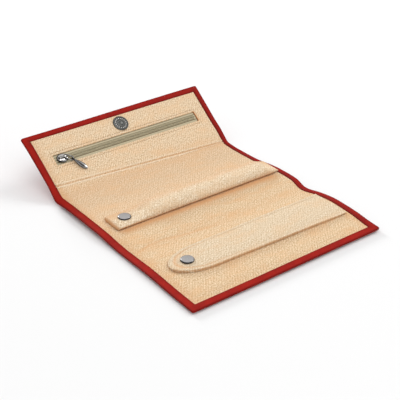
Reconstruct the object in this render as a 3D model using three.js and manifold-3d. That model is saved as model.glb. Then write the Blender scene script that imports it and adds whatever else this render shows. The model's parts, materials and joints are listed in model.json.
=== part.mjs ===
// Tri-fold jewelry wallet, lying open: a back panel with a padded ring bar, a front panel
// with a wide tongue strap, and a raised flap with a zipped pocket and a magnetic closure.
// Millimetres, +X to the right, +Y towards the flap, +Z up.
// The origin is the middle of the back panel's underside.

import * as THREE from 'three';
import { mergeVertices } from 'three/addons/utils/BufferGeometryUtils.js';
import Module from 'manifold-3d';

const wasm = await Module();
wasm.setup();

// Panels and folds: each fold is a soft strip between two crease lines
const WIDTH = 200;
const BACK_LENGTH = 98;
const TOP_SPINE_LENGTH = 23;
const FLAP_LENGTH = 56.5;
const FRONT_SPINE_LENGTH = 13.5;
const FRONT_LENGTH = 83;
const FLAP_REST_DEGREES = 35.5;
const FLAP_PAST_PARALLEL_DEGREES = 3.0;
const CORNER_RADIUS = 3;
const CREASE_GAP = 0.3;

// Sheet thicknesses and the gaps between stacked sheets
const LEATHER = 1.0;
const BOARD = 1.0;
const LINING = 0.8;
const TURNED_EDGE = 0.8;
const POCKET_CLOTH = 0.4;
const ZIP_TAPE = 0.4;
const LAYER_GAP = 0.2;
const SEAT_GAP = 0.3;
const BORDER = 7.2;
const EDGE_ROUND = 1.2;

// Padded ring bar on the back panel
const BAR_LEFT_MARGIN = 16;
const BAR_END_MARGIN = 4.6;
const BAR_CENTRE_Y = -5.7;
const BAR_WIDTH = 23.5;
const BAR_HEIGHT = 8.4;
const BAR_TAB_LENGTH = 26;
const BAR_TAB_THICKNESS = 3.4;
const BAR_TAIL_THICKNESS = 1.3;
const BAR_SHOULDER = 22;
const BAR_TAIL_SHOULDER = 12;
const BAR_END_ROUND = 0.8;
const BAR_COVER = 1.0;
const BAR_FILL_GAP = 0.3;
const BAR_SEAM_SLIT = 2;
const BAR_SNAP_INSET = 14;

// Tongue strap on the front panel
const STRAP_TIP_MARGIN = 19.5;
const STRAP_CENTRE_Y = -29.4;
const STRAP_ROOT_WIDTH = 41;
const STRAP_SHOULDER_WIDTH = 36;
const STRAP_TIP_LENGTH = 32;
const STRAP_LAYER = 1.3;
const STRAP_EDGE_ROUND = 0.4;
const STRAP_SNAP_INSET = 14.9;

// Sewn ends of the ring bar and the strap
const ANCHOR_THICKNESS = 0.8;
const BAR_ANCHOR_LENGTH = 2.6;
const STRAP_ANCHOR_LENGTH = 7;
const ROOT_PLAY = 0.5;

// Press studs
const SNAP_CAP_RADIUS = 6;
const SNAP_CAP_HEIGHT = 1.6;
const SNAP_SHANK_RADIUS = 1.7;
const SNAP_SOCKET_RADIUS = 5;
const SNAP_SOCKET_HEIGHT = 1.2;
const SNAP_KNOB_RADIUS = 2;
const SNAP_KNOB_HEIGHT = 1.3;
const SNAP_FLANGE_RADIUS = 4.5;
const SNAP_POST_RADIUS = 1;
const SNAP_POST_PLATE_RADIUS = 4;
const SNAP_PLAY = 0.3;

// Crown of a stud's cap and bulge of its knob, as shares of their radius and height
const SNAP_CAP_CROWN = [[0.93, 0], [1, 0.25], [0.95, 0.55], [0.75, 0.85], [0.4, 0.98], [0, 1]];
const SNAP_KNOB_BULGE = [[0.85, 0], [1, 0.6], [0.8, 1], [0, 1]];

// Zip and its slider
const ZIP_LEFT_MARGIN = 18;
const ZIP_RIGHT_MARGIN = 22;
const ZIP_WINDOW = 13;
const ZIP_TAPE_WIDTH = 10;
const ZIP_TAPE_OVERRUN = 5;
const COIL_SPLIT = 1.0;
const COIL_WIDTH = 2.2;
const COIL_HEIGHT = 1.2;
const COIL_END_MARGIN = 2;
const SLIDER_INSET = 7.5;
const SLIDER_LENGTH = 11;
const SLIDER_WIDTH = 8.6;
const SLIDER_PLATE = 0.8;
const SLIDER_CROWN = 1.0;
const SLIDER_CORNER = 3.2;
const SLIDER_NECK_LENGTH = 3;
const SLIDER_NECK_WIDTH = 0.6;
const BRIDGE_LENGTH = 8.8;
const BRIDGE_WIDTH = 2.2;
const BRIDGE_PILLAR = 1.3;
const BRIDGE_BAND = 0.7;
const BRIDGE_OPENING = 1.0;

// Pull link and pull tab
const LINK_WIRE = 0.7;
const LINK_INNER_WIDTH = 3.2;
const LINK_REACH = 6.6;
const PULL_DIRECTION_DEGREES = -43;
const PULL_DROOP_DEGREES = 3.4;
const TAB_LENGTH = 18.5;
const TAB_WIDTH = 5;
const TAB_TIP_WIDTH = 1.3;
const TAB_NECK_WIDTH = 2;
const TAB_WIDEST_X = 13;
const TAB_THICKNESS = 1.4;
const TAB_EYE_RADIUS = 1.15;
const TAB_EYE_BORE = 0.62;

// Magnetic closure
const MAGNET_BORDER_MARGIN = 0.3;
const MAGNET_ZIP_MARGIN = 1.0;
const MAGNET_CASE_RADIUS = 7;
const MAGNET_CASE_HEIGHT = 2.4;
const MAGNET_CASE_WALL = 0.5;
const MAGNET_HEIGHT = 1.5;
const MAGNET_RIVET_RADIUS = 2;
const MAGNET_WASHER_RADIUS = 5.5;
const MAGNET_WASHER = 0.5;
const STRIKER_FLANGE = 0.4;
const STRIKER_RECESS = 0.1;
const STRIKER_BOSS_RADIUS = 3;
const STRIKER_WASHER_RADIUS = 6.2;
const STRIKER_WASHER = 0.6;

// Heights above a flat panel's underside
const HALF_WIDTH = WIDTH / 2;
const BOARD_Z = LEATHER + LAYER_GAP;
const LINING_Z = BOARD_Z + BOARD + LAYER_GAP;
const LINING_TOP = LINING_Z + LINING;
const PANEL_TOP = LINING_TOP + LAYER_GAP + TURNED_EDGE;
const SPINE_LINING_Z = LEATHER + LAYER_GAP;
const SPINE_TOP = SPINE_LINING_Z + LINING + LAYER_GAP + TURNED_EDGE;
const HINGE_Z = LINING_TOP + LAYER_GAP;

// Heights above the flap's underside
const POCKET_CLOTH_Z = LEATHER + LAYER_GAP;
const SLIDER_PLATE_Z = POCKET_CLOTH_Z + POCKET_CLOTH + LAYER_GAP;
const ZIP_TAPE_Z = SLIDER_PLATE_Z + SLIDER_PLATE + LAYER_GAP;
const COIL_Z = ZIP_TAPE_Z + ZIP_TAPE + LAYER_GAP;
const POCKET_PANEL_Z = ZIP_TAPE_Z + ZIP_TAPE + LAYER_GAP;
const POCKET_PANEL_TOP = POCKET_PANEL_Z + LINING;
const FLAP_TOP = POCKET_PANEL_TOP + LAYER_GAP + TURNED_EDGE;
const SLIDER_CROWN_Z = Math.max(COIL_Z + COIL_HEIGHT, POCKET_PANEL_TOP) + LAYER_GAP;
const BRIDGE_Z = SLIDER_CROWN_Z + SLIDER_CROWN + LAYER_GAP;
const MAGNET_CASE_Z = POCKET_PANEL_TOP + LAYER_GAP;
const MAGNET_FACE_Z = MAGNET_CASE_Z + MAGNET_CASE_HEIGHT;

// Places across the panels
const BAR_LEFT = -HALF_WIDTH + BAR_LEFT_MARGIN;
const BAR_SNAP_X = BAR_LEFT + BAR_SNAP_INSET;
const STRAP_TIP = -HALF_WIDTH + STRAP_TIP_MARGIN;
const STRAP_SNAP_X = STRAP_TIP + STRAP_SNAP_INSET;
const ZIP_LEFT = -HALF_WIDTH + ZIP_LEFT_MARGIN;
const ZIP_RIGHT = HALF_WIDTH - ZIP_RIGHT_MARGIN;
const SLIDER_X = ZIP_LEFT + SLIDER_INSET;

// Places along the flap, from its free edge down: the magnet, its washer, then the zip's tape
const MAGNET_Y = FLAP_LENGTH - BORDER - MAGNET_BORDER_MARGIN - MAGNET_CASE_RADIUS;
const ZIP_Y = MAGNET_Y - MAGNET_WASHER_RADIUS - MAGNET_ZIP_MARGIN - ZIP_TAPE_WIDTH - COIL_SPLIT / 2;

// Inner edge of the layers that the turned leather wraps
const LAYER_HALF_WIDTH = HALF_WIDTH - LEATHER - LAYER_GAP;
const BORDER_INNER_X = HALF_WIDTH - BORDER;

// Finishes
const RED_LEATHER = { color: 0xa8282a, roughness: 0.5, metalness: 0 };
const SAND_SUEDE = { color: 0xe8cba4, roughness: 0.95, metalness: 0 };
const GREY_BOARD = { color: 0x8c8478, roughness: 0.9, metalness: 0 };
const POCKET_COTTON = { color: 0xd8c8a8, roughness: 0.9, metalness: 0 };
const WHITE_FILLING = { color: 0xf0ece4, roughness: 1, metalness: 0 };
const KHAKI_TAPE = { color: 0xb9a984, roughness: 0.85, metalness: 0 };
const KHAKI_COIL = { color: 0x8f8261, roughness: 0.5, metalness: 0 };
const BRIGHT_NICKEL = { color: 0xc8c8ca, roughness: 0.18, metalness: 1 };
const DARK_STEEL = { color: 0x5c6064, roughness: 0.35, metalness: 1 };
const FERRITE = { color: 0x2c2c2e, roughness: 0.6, metalness: 0.2 };

const CIRCLE_STEPS = 24;
const CORNER_STEPS = 3;
const radians = THREE.MathUtils.degToRad;
const ease = THREE.MathUtils.smoothstep;
const mix = THREE.MathUtils.lerp;

// Solids

// Six times the enclosed volume, positive when the faces point out.
function signedVolume(geometry) {
  const corner = [new THREE.Vector3(), new THREE.Vector3(), new THREE.Vector3()];
  const { position } = geometry.attributes;
  let sum = 0;
  for (let i = 0; i < geometry.index.count; i += 3) {
    corner.forEach((point, k) => point.fromBufferAttribute(position, geometry.index.getX(i + k)));
    sum += corner[0].dot(corner[1].cross(corner[2]));
  }
  return sum;
}

// Shares vertices, drops triangles that collapsed on an axis and turns the faces outwards.
function closed(geometry) {
  geometry.deleteAttribute('normal');
  geometry.deleteAttribute('uv');
  const merged = mergeVertices(geometry, 1e-4);
  const triangles = [];
  for (let i = 0; i < merged.index.count; i += 3) {
    const [a, b, c] = [0, 1, 2].map((k) => merged.index.getX(i + k));
    if (a !== b && b !== c && c !== a) triangles.push([a, b, c]);
  }
  merged.setIndex(triangles.flat());
  if (signedVolume(merged) < 0) merged.setIndex(triangles.map((t) => t.reverse()).flat());
  return merged;
}

function toSolid(geometry) {
  const shape = closed(geometry);
  const vertProperties = new Float32Array(shape.attributes.position.array);
  const triVerts = new Uint32Array(shape.index.array);
  return new wasm.Manifold(new wasm.Mesh({ numProp: 3, vertProperties, triVerts }));
}

function toGeometry(solid) {
  const mesh = solid.getMesh();
  const geometry = new THREE.BufferGeometry();
  geometry.setAttribute('position', new THREE.BufferAttribute(mesh.vertProperties, 3));
  geometry.setIndex(new THREE.BufferAttribute(mesh.triVerts, 1));
  geometry.computeVertexNormals();
  return geometry;
}

function cut(base, tools) {
  return toGeometry(tools.reduce((solid, tool) => solid.subtract(toSolid(tool)), toSolid(base)));
}

function join(pieces) {
  return toGeometry(pieces.map(toSolid).reduce((solid, next) => solid.add(next)));
}

function rectangle(left, right, low, high, radius = 0) {
  const shape = new THREE.Shape();
  if (radius === 0) {
    const corners = [[left, low], [right, low], [right, high], [left, high]];
    shape.setFromPoints(corners.map(([x, y]) => new THREE.Vector2(x, y)));
    return shape;
  }
  shape.absarc(right - radius, low + radius, radius, -Math.PI / 2, 0);
  shape.absarc(right - radius, high - radius, radius, 0, Math.PI / 2);
  shape.absarc(left + radius, high - radius, radius, Math.PI / 2, Math.PI);
  shape.absarc(left + radius, low + radius, radius, Math.PI, 1.5 * Math.PI);
  return shape;
}

// Rectangle given by its two ends along x, and its middle and width along y.
function strip(left, right, middle, width, radius = 0) {
  return rectangle(left, right, middle - width / 2, middle + width / 2, radius);
}

function slab(shape, bottom, top, curveSegments = CORNER_STEPS) {
  const depth = top - bottom;
  const geometry = new THREE.ExtrudeGeometry(shape, { depth, bevelEnabled: false, curveSegments });
  return geometry.translate(0, 0, bottom);
}

// Slab whose upper and lower rims are rounded inside the given outline.
function roundedSlab(shape, bottom, top, round, curveSegments = CORNER_STEPS) {
  const geometry = new THREE.ExtrudeGeometry(shape, {
    depth: top - bottom - 2 * round,
    bevelThickness: round,
    bevelSize: round,
    bevelOffset: -round,
    bevelSegments: 2,
    curveSegments,
  });
  return geometry.translate(0, 0, bottom + round);
}

function disc(x, y, radius, bottom, top) {
  const geometry = new THREE.CylinderGeometry(radius, radius, top - bottom, CIRCLE_STEPS);
  return geometry.rotateX(Math.PI / 2).translate(x, y, (bottom + top) / 2);
}

// Body of revolution about a vertical axis; the profile is a list of [radius, height] points.
function turned(x, y, profile) {
  const points = profile.map(([radius, height]) => new THREE.Vector2(radius, height));
  return closed(new THREE.LatheGeometry(points, CIRCLE_STEPS).rotateX(Math.PI / 2).translate(x, y, 0));
}

// Skin over a row of closed sections with equally many points, with flat ends.
function loft(sections) {
  const count = sections[0].length;
  const points = sections.flat();
  const triangles = [];
  for (let s = 0; s + 1 < sections.length; s += 1) {
    for (let k = 0; k < count; k += 1) {
      const a = s * count + k;
      const b = s * count + (k + 1) % count;
      triangles.push(a, b, b + count, a, b + count, a + count);
    }
  }
  const last = points.length - count;
  for (let k = 1; k + 1 < count; k += 1) {
    triangles.push(0, k + 1, k, last, last + k, last + k + 1);
  }
  const geometry = new THREE.BufferGeometry().setFromPoints(points);
  geometry.setIndex(triangles);
  return geometry;
}

function addPiece(parent, name, geometry, finish) {
  const mesh = new THREE.Mesh(geometry, new THREE.MeshStandardMaterial(finish));
  mesh.name = name;
  parent.add(mesh);
}

// Leather cover: its side edges, and a free end if it has one, turn up and over the layers inside.
function turnedCover(low, high, top, free = {}) {
  const past = BORDER;
  const blankLow = free.low ? low : low - past;
  const blankHigh = free.high ? high : high + past;
  const blank = rectangle(-HALF_WIDTH, HALF_WIDTH, blankLow, blankHigh, CORNER_RADIUS);
  const inside = (margin) => rectangle(
    -HALF_WIDTH + margin,
    HALF_WIDTH - margin,
    free.low ? low + margin : blankLow - past,
    free.high ? high - margin : blankHigh + past,
  );
  const hollowTop = top - TURNED_EDGE;
  const tools = [
    slab(inside(LEATHER), LEATHER, hollowTop),
    slab(inside(BORDER), (LEATHER + hollowTop) / 2, top + past),
  ];
  const endCut = (from, to) => slab(rectangle(-WIDTH, WIDTH, from, to), -past, top + past);
  if (!free.low) tools.push(endCut(blankLow - past, low));
  if (!free.high) tools.push(endCut(high, blankHigh + past));
  return cut(roundedSlab(blank, 0, top, EDGE_ROUND), tools);
}

// Flat sheet inside a cover, set back from the turned leather and from the creases.
function layer(low, high, bottom, thickness) {
  return slab(rectangle(-LAYER_HALF_WIDTH, LAYER_HALF_WIDTH, low, high), bottom, bottom + thickness);
}

// Press studs

const SOCKET_Z = LINING_TOP + SEAT_GAP + LAYER_GAP / 2;
const SOCKET_TOP = SOCKET_Z + SNAP_SOCKET_HEIGHT;
const KNOB_Z = LINING_TOP + LAYER_GAP / 2;

// Cap on top of a strap, with the shank that goes down through it to the socket.
function snapCap(x, y, seat) {
  return turned(x, y, [
    [0, SOCKET_TOP + LAYER_GAP],
    [SNAP_SHANK_RADIUS, SOCKET_TOP + LAYER_GAP],
    [SNAP_SHANK_RADIUS, seat],
    ...SNAP_CAP_CROWN.map(([out, up]) => [out * SNAP_CAP_RADIUS, seat + up * SNAP_CAP_HEIGHT]),
  ]);
}

// Ring under the strap that grips the stud's knob.
function snapSocket(x, y) {
  const bore = SNAP_KNOB_RADIUS + SNAP_PLAY;
  const ring = disc(x, y, SNAP_SOCKET_RADIUS, SOCKET_Z, SOCKET_TOP);
  return cut(ring, [disc(x, y, bore, SOCKET_Z - SEAT_GAP, SOCKET_TOP + SEAT_GAP)]);
}

// Stud let into the lining, hollow for its post.
function snapStud(x, y) {
  const bore = SNAP_POST_RADIUS + LAYER_GAP;
  const hollowTop = KNOB_Z + 2 * SNAP_KNOB_HEIGHT / 3;
  return turned(x, y, [
    [0, hollowTop],
    [bore, hollowTop],
    [bore, LINING_Z],
    [SNAP_FLANGE_RADIUS, LINING_Z],
    [SNAP_FLANGE_RADIUS, KNOB_Z],
    ...SNAP_KNOB_BULGE.map(([out, up]) => [out * SNAP_KNOB_RADIUS, KNOB_Z + up * SNAP_KNOB_HEIGHT]),
  ]);
}

// Rivet behind the stud, its plate let into the board.
function snapPost(x, y) {
  const plateTop = BOARD_Z + BOARD;
  const pinTop = KNOB_Z + SNAP_KNOB_HEIGHT / 3;
  return turned(x, y, [
    [0, BOARD_Z],
    [SNAP_POST_PLATE_RADIUS, BOARD_Z],
    [SNAP_POST_PLATE_RADIUS, plateTop],
    [SNAP_POST_RADIUS, plateTop],
    [SNAP_POST_RADIUS, pinTop],
    [0, pinTop],
  ]);
}

// Holes that a press stud needs in the board, the lining and the strap above it.
const studHole = (x, y) => disc(x, y, SNAP_FLANGE_RADIUS + LAYER_GAP, LINING_Z - BOARD / 2, PANEL_TOP);
const postHole = (x, y) => disc(x, y, SNAP_POST_PLATE_RADIUS + LAYER_GAP, 0, PANEL_TOP);
const socketHole = (x, y) => disc(x, y, SNAP_SOCKET_RADIUS + LAYER_GAP, 0, SOCKET_TOP + LAYER_GAP / 2);
const shankHole = (x, y, top) => disc(x, y, SNAP_SHANK_RADIUS + LAYER_GAP, 0, top + BAR_HEIGHT);

// Panel frames: each turns about its crease, and its own z = 0 is the panel's underside

function panelAt(parent, creaseY, angle) {
  const crease = new THREE.Group();
  crease.position.set(0, creaseY, HINGE_Z);
  crease.rotation.x = angle;
  parent.add(crease);
  const panel = new THREE.Group();
  panel.position.z = -HINGE_Z;
  crease.add(panel);
  return panel;
}

const REST_FOLD = radians(FLAP_REST_DEGREES / 2);
const wallet = new THREE.Group();
const backPanel = new THREE.Group();
wallet.add(backPanel);
const topSpine = panelAt(backPanel, BACK_LENGTH / 2, REST_FOLD);
const flap = panelAt(topSpine, TOP_SPINE_LENGTH, REST_FOLD);
const frontSpine = panelAt(backPanel, -BACK_LENGTH / 2, 0);
const frontPanel = panelAt(frontSpine, -FRONT_SPINE_LENGTH, 0);

// Back panel

const BACK_END = BACK_LENGTH / 2 - CREASE_GAP;
const BAR_SNAP = [BAR_SNAP_X, BAR_CENTRE_Y];
const BAR_RIGHT = HALF_WIDTH - BAR_END_MARGIN;
const BAR_ANCHOR_X = BAR_RIGHT + ROOT_PLAY;
const BAR_ANCHOR_Z = PANEL_TOP + LAYER_GAP;
const barAnchorOutline = strip(BAR_ANCHOR_X, BAR_ANCHOR_X + BAR_ANCHOR_LENGTH, BAR_CENTRE_Y, BAR_WIDTH);
const barAnchor = slab(barAnchorOutline, BAR_ANCHOR_Z, BAR_ANCHOR_Z + ANCHOR_THICKNESS);
const backBoard = cut(layer(-BACK_END, BACK_END, BOARD_Z, BOARD), [postHole(...BAR_SNAP)]);
const backLining = cut(layer(-BACK_END, BACK_END, LINING_Z, LINING), [studHole(...BAR_SNAP)]);

addPiece(backPanel, 'back_cover', turnedCover(-BACK_END, BACK_END, PANEL_TOP), RED_LEATHER);
addPiece(backPanel, 'back_board', backBoard, GREY_BOARD);
addPiece(backPanel, 'back_lining', backLining, SAND_SUEDE);
addPiece(backPanel, 'ring_bar_stud', snapStud(...BAR_SNAP), BRIGHT_NICKEL);
addPiece(backPanel, 'ring_bar_stud_post', snapPost(...BAR_SNAP), BRIGHT_NICKEL);
addPiece(backPanel, 'ring_bar_anchor', barAnchor, SAND_SUEDE);

// Ring bar: a flat tab at the left, a padded bar, and a flat tail that climbs over the border

const BAR_SEAT = LINING_TOP + SEAT_GAP;
const BAR_TAIL_SEAT = PANEL_TOP + SEAT_GAP;
const PAD_LEFT = BAR_LEFT + BAR_TAB_LENGTH;
const PAD_RIGHT = BAR_RIGHT - BAR_TAIL_SHOULDER;
const BAR_STEPS = 20;
const SECTION_STEPS = 16;
const SEAM_SHARE = 0.35;

// Exponents that make the section boxier below 1: the top over the tab, the top over the padding,
// the underside, and the sides
const TAB_CROWN = 0.25;
const BAR_CROWN = 0.75;
const UNDERSIDE_CROWN = 0.3;
const SIDE_CROWN = 0.6;

// How full the padding is at x, from 0 on the tab and the tail to 1 on the bar.
function padding(x) {
  return ease(x, PAD_LEFT, PAD_LEFT + BAR_SHOULDER) * (1 - ease(x, PAD_RIGHT, BAR_RIGHT));
}

// Crowned section of the ring bar at x, drawn in by the given amount all round.
function barSection(x, inset) {
  const flat = x < (PAD_LEFT + PAD_RIGHT) / 2 ? BAR_TAB_THICKNESS : BAR_TAIL_THICKNESS;
  const climb = ease(x, BORDER_INNER_X - BORDER, BORDER_INNER_X - SEAT_GAP);
  const seat = mix(BAR_SEAT, BAR_TAIL_SEAT, climb);
  const bottom = seat + inset;
  const top = seat + mix(flat, BAR_HEIGHT, padding(x)) - inset;
  const seam = mix(bottom, top, SEAM_SHARE);
  const crown = mix(TAB_CROWN, BAR_CROWN, padding(x));
  const section = [];
  for (let k = 0; k < SECTION_STEPS; k += 1) {
    const angle = (2 * Math.PI * k) / SECTION_STEPS;
    const across = Math.sign(Math.cos(angle)) * Math.abs(Math.cos(angle)) ** SIDE_CROWN;
    const up = Math.sin(angle);
    const rise = up > 0 ? (top - seam) * up ** crown : (bottom - seam) * (-up) ** UNDERSIDE_CROWN;
    section.push(new THREE.Vector3(x, BAR_CENTRE_Y + (BAR_WIDTH / 2 - inset) * across, seam + rise));
  }
  return section;
}

function barSections(left, right, inset) {
  const sections = [];
  for (let s = 0; s <= BAR_STEPS; s += 1) {
    sections.push(barSection(mix(left, right, s / BAR_STEPS), inset));
  }
  return sections;
}

const PAD_CORE_LEFT = PAD_LEFT + BAR_SHOULDER / 2;
const PAD_CORE_RIGHT = PAD_RIGHT + BAR_TAIL_SHOULDER / 4;
const BAR_TAB_TOP = BAR_SEAT + BAR_TAB_THICKNESS;
const barOutside = loft([
  barSection(BAR_LEFT, BAR_END_ROUND),
  ...barSections(BAR_LEFT + BAR_END_ROUND, BAR_RIGHT, 0),
]);
const barHollow = loft(barSections(PAD_CORE_LEFT, PAD_CORE_RIGHT, BAR_COVER));
const seamOutline = strip(PAD_CORE_LEFT + BAR_COVER, PAD_CORE_RIGHT - BAR_COVER, BAR_CENTRE_Y, BAR_SEAM_SLIT);
const barCover = cut(barOutside, [
  barHollow,
  slab(seamOutline, 0, BAR_SEAT + BAR_COVER + BAR_FILL_GAP),
  socketHole(...BAR_SNAP),
  shankHole(...BAR_SNAP, BAR_TAB_TOP),
]);
const fillSections = barSections(
  PAD_CORE_LEFT + BAR_FILL_GAP,
  PAD_CORE_RIGHT - BAR_FILL_GAP,
  BAR_COVER + BAR_FILL_GAP,
);

addPiece(backPanel, 'ring_bar_cover', barCover, SAND_SUEDE);
addPiece(backPanel, 'ring_bar_core', closed(loft(fillSections)), WHITE_FILLING);
addPiece(backPanel, 'ring_bar_snap_cap', snapCap(...BAR_SNAP, BAR_TAB_TOP + LAYER_GAP), BRIGHT_NICKEL);
addPiece(backPanel, 'ring_bar_snap_socket', snapSocket(...BAR_SNAP), BRIGHT_NICKEL);

// Top fold

const TOP_SPINE_ENDS = [CREASE_GAP, TOP_SPINE_LENGTH - CREASE_GAP];
addPiece(topSpine, 'top_spine_cover', turnedCover(...TOP_SPINE_ENDS, SPINE_TOP), RED_LEATHER);
addPiece(topSpine, 'top_spine_lining', layer(...TOP_SPINE_ENDS, SPINE_LINING_Z, LINING), SAND_SUEDE);

// Flap with its zipped pocket

const FLAP_LAYER_END = FLAP_LENGTH - LEATHER - LAYER_GAP;
const MAGNET_HOLE = MAGNET_RIVET_RADIUS + LAYER_GAP;
const zipWindow = strip(ZIP_LEFT, ZIP_RIGHT, ZIP_Y, ZIP_WINDOW, CORNER_RADIUS / 2);
const pocketBack = layer(CREASE_GAP, FLAP_LAYER_END, POCKET_CLOTH_Z, POCKET_CLOTH);
const pocketPanel = cut(layer(CREASE_GAP, FLAP_LAYER_END, POCKET_PANEL_Z, LINING), [
  slab(zipWindow, 0, FLAP_TOP),
  disc(0, MAGNET_Y, MAGNET_HOLE, 0, FLAP_TOP),
]);

addPiece(flap, 'flap_cover', turnedCover(CREASE_GAP, FLAP_LENGTH, FLAP_TOP, { high: true }), RED_LEATHER);
addPiece(flap, 'pocket_back', pocketBack, POCKET_COTTON);
addPiece(flap, 'pocket_panel', pocketPanel, SAND_SUEDE);

for (const [side, towards] of [['upper', 1], ['lower', -1]]) {
  const inner = ZIP_Y + towards * COIL_SPLIT / 2;
  const tapeMiddle = inner + towards * ZIP_TAPE_WIDTH / 2;
  const coilMiddle = inner + towards * COIL_WIDTH / 2;
  const tape = strip(ZIP_LEFT - ZIP_TAPE_OVERRUN, ZIP_RIGHT + ZIP_TAPE_OVERRUN, tapeMiddle, ZIP_TAPE_WIDTH);
  const coil = strip(ZIP_LEFT + COIL_END_MARGIN, ZIP_RIGHT - COIL_END_MARGIN, coilMiddle, COIL_WIDTH);
  const coilBar = closed(roundedSlab(coil, COIL_Z, COIL_Z + COIL_HEIGHT, COIL_HEIGHT / 3));
  addPiece(flap, `zip_tape_${side}`, slab(tape, ZIP_TAPE_Z, ZIP_TAPE_Z + ZIP_TAPE), KHAKI_TAPE);
  addPiece(flap, `zip_coil_${side}`, coilBar, KHAKI_COIL);
}

// Magnetic closure on the flap: a cup over a magnet, held by a riveted washer in the pocket

const magnetRadius = MAGNET_CASE_RADIUS - MAGNET_CASE_WALL - LAYER_GAP;
const magnet = closed(disc(0, MAGNET_Y, magnetRadius, MAGNET_CASE_Z, MAGNET_CASE_Z + MAGNET_HEIGHT));
const magnetCup = turned(0, MAGNET_Y, [
  [0, MAGNET_FACE_Z - MAGNET_CASE_WALL],
  [MAGNET_CASE_RADIUS - MAGNET_CASE_WALL, MAGNET_FACE_Z - MAGNET_CASE_WALL],
  [MAGNET_CASE_RADIUS - MAGNET_CASE_WALL, MAGNET_CASE_Z],
  [MAGNET_CASE_RADIUS, MAGNET_CASE_Z],
  [MAGNET_CASE_RADIUS, MAGNET_FACE_Z - MAGNET_CASE_WALL],
  [MAGNET_CASE_RADIUS - MAGNET_CASE_WALL, MAGNET_FACE_Z],
  [0, MAGNET_FACE_Z],
]);
const washerTop = POCKET_PANEL_Z - LAYER_GAP;
const magnetWasher = turned(0, MAGNET_Y, [
  [0, washerTop - MAGNET_WASHER],
  [MAGNET_WASHER_RADIUS, washerTop - MAGNET_WASHER],
  [MAGNET_WASHER_RADIUS, washerTop],
  [MAGNET_RIVET_RADIUS, washerTop],
  [MAGNET_RIVET_RADIUS, POCKET_PANEL_TOP],
  [0, POCKET_PANEL_TOP],
]);
addPiece(flap, 'flap_magnet_case', magnetCup, DARK_STEEL);
addPiece(flap, 'flap_magnet', magnet, FERRITE);
addPiece(flap, 'flap_magnet_washer', magnetWasher, DARK_STEEL);

// Zip slider: two plates joined by a neck that runs between the coils, and a bridge on top

const NECK_LEFT = -SLIDER_LENGTH / 2 + SLIDER_PLATE;
const sliderOutline = strip(-SLIDER_LENGTH / 2, SLIDER_LENGTH / 2, 0, SLIDER_WIDTH, SLIDER_CORNER);
const neckOutline = strip(NECK_LEFT, NECK_LEFT + SLIDER_NECK_LENGTH, 0, SLIDER_NECK_WIDTH);
const sliderBody = join([
  roundedSlab(sliderOutline, SLIDER_PLATE_Z, SLIDER_PLATE_Z + SLIDER_PLATE, SLIDER_PLATE / 4),
  roundedSlab(sliderOutline, SLIDER_CROWN_Z, SLIDER_CROWN_Z + SLIDER_CROWN, SLIDER_CROWN / 3),
  slab(neckOutline, SLIDER_PLATE_Z + SLIDER_PLATE / 2, SLIDER_CROWN_Z + SLIDER_CROWN / 2),
]);
const bridgeHalf = BRIDGE_LENGTH / 2;
const openingHalf = bridgeHalf - BRIDGE_PILLAR;
const bridgeSide = new THREE.Shape();
bridgeSide.moveTo(-bridgeHalf, 0);
bridgeSide.lineTo(-openingHalf, 0);
bridgeSide.lineTo(-openingHalf, BRIDGE_OPENING);
bridgeSide.lineTo(openingHalf, BRIDGE_OPENING);
bridgeSide.lineTo(openingHalf, 0);
bridgeSide.lineTo(bridgeHalf, 0);
bridgeSide.absarc(bridgeHalf - BRIDGE_BAND, BRIDGE_OPENING, BRIDGE_BAND, 0, Math.PI / 2);
bridgeSide.absarc(-bridgeHalf + BRIDGE_BAND, BRIDGE_OPENING, BRIDGE_BAND, Math.PI / 2, Math.PI);
const bridge = slab(bridgeSide, -BRIDGE_WIDTH / 2, BRIDGE_WIDTH / 2).rotateX(Math.PI / 2);

const slider = new THREE.Group();
slider.position.set(SLIDER_X, ZIP_Y, 0);
flap.add(slider);
addPiece(slider, 'slider_body', sliderBody, BRIGHT_NICKEL);
addPiece(slider, 'slider_bridge', bridge.translate(0, 0, BRIDGE_Z), BRIGHT_NICKEL);

// Pull: a flat link round the bridge's rear pillar, and a tab that turns on the link's outer bar

const PILLAR_X = BRIDGE_LENGTH / 2 - BRIDGE_PILLAR / 2;
const LINK_Z = BRIDGE_Z + BRIDGE_OPENING / 2;
const linkOutline = (half, reach, corner) => {
  const shape = new THREE.Shape();
  shape.absarc(0, 0, half, Math.PI / 2, 1.5 * Math.PI);
  shape.absarc(reach - corner, -half + corner, corner, -Math.PI / 2, 0);
  shape.absarc(reach - corner, half - corner, corner, 0, Math.PI / 2);
  return shape;
};
const linkShape = linkOutline(LINK_INNER_WIDTH / 2 + LINK_WIRE, LINK_REACH + LINK_WIRE / 2, LINK_WIRE);
linkShape.holes.push(linkOutline(LINK_INNER_WIDTH / 2, LINK_REACH - LINK_WIRE / 2, LINK_WIRE / 4));

const linkFrame = slab(linkShape, -LINK_WIRE / 2, LINK_WIRE / 2, 2 * CORNER_STEPS);

const link = new THREE.Group();
link.position.set(PILLAR_X, 0, LINK_Z);
link.rotation.z = radians(PULL_DIRECTION_DEGREES);
slider.add(link);
addPiece(link, 'pull_link', linkFrame, BRIGHT_NICKEL);

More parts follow.
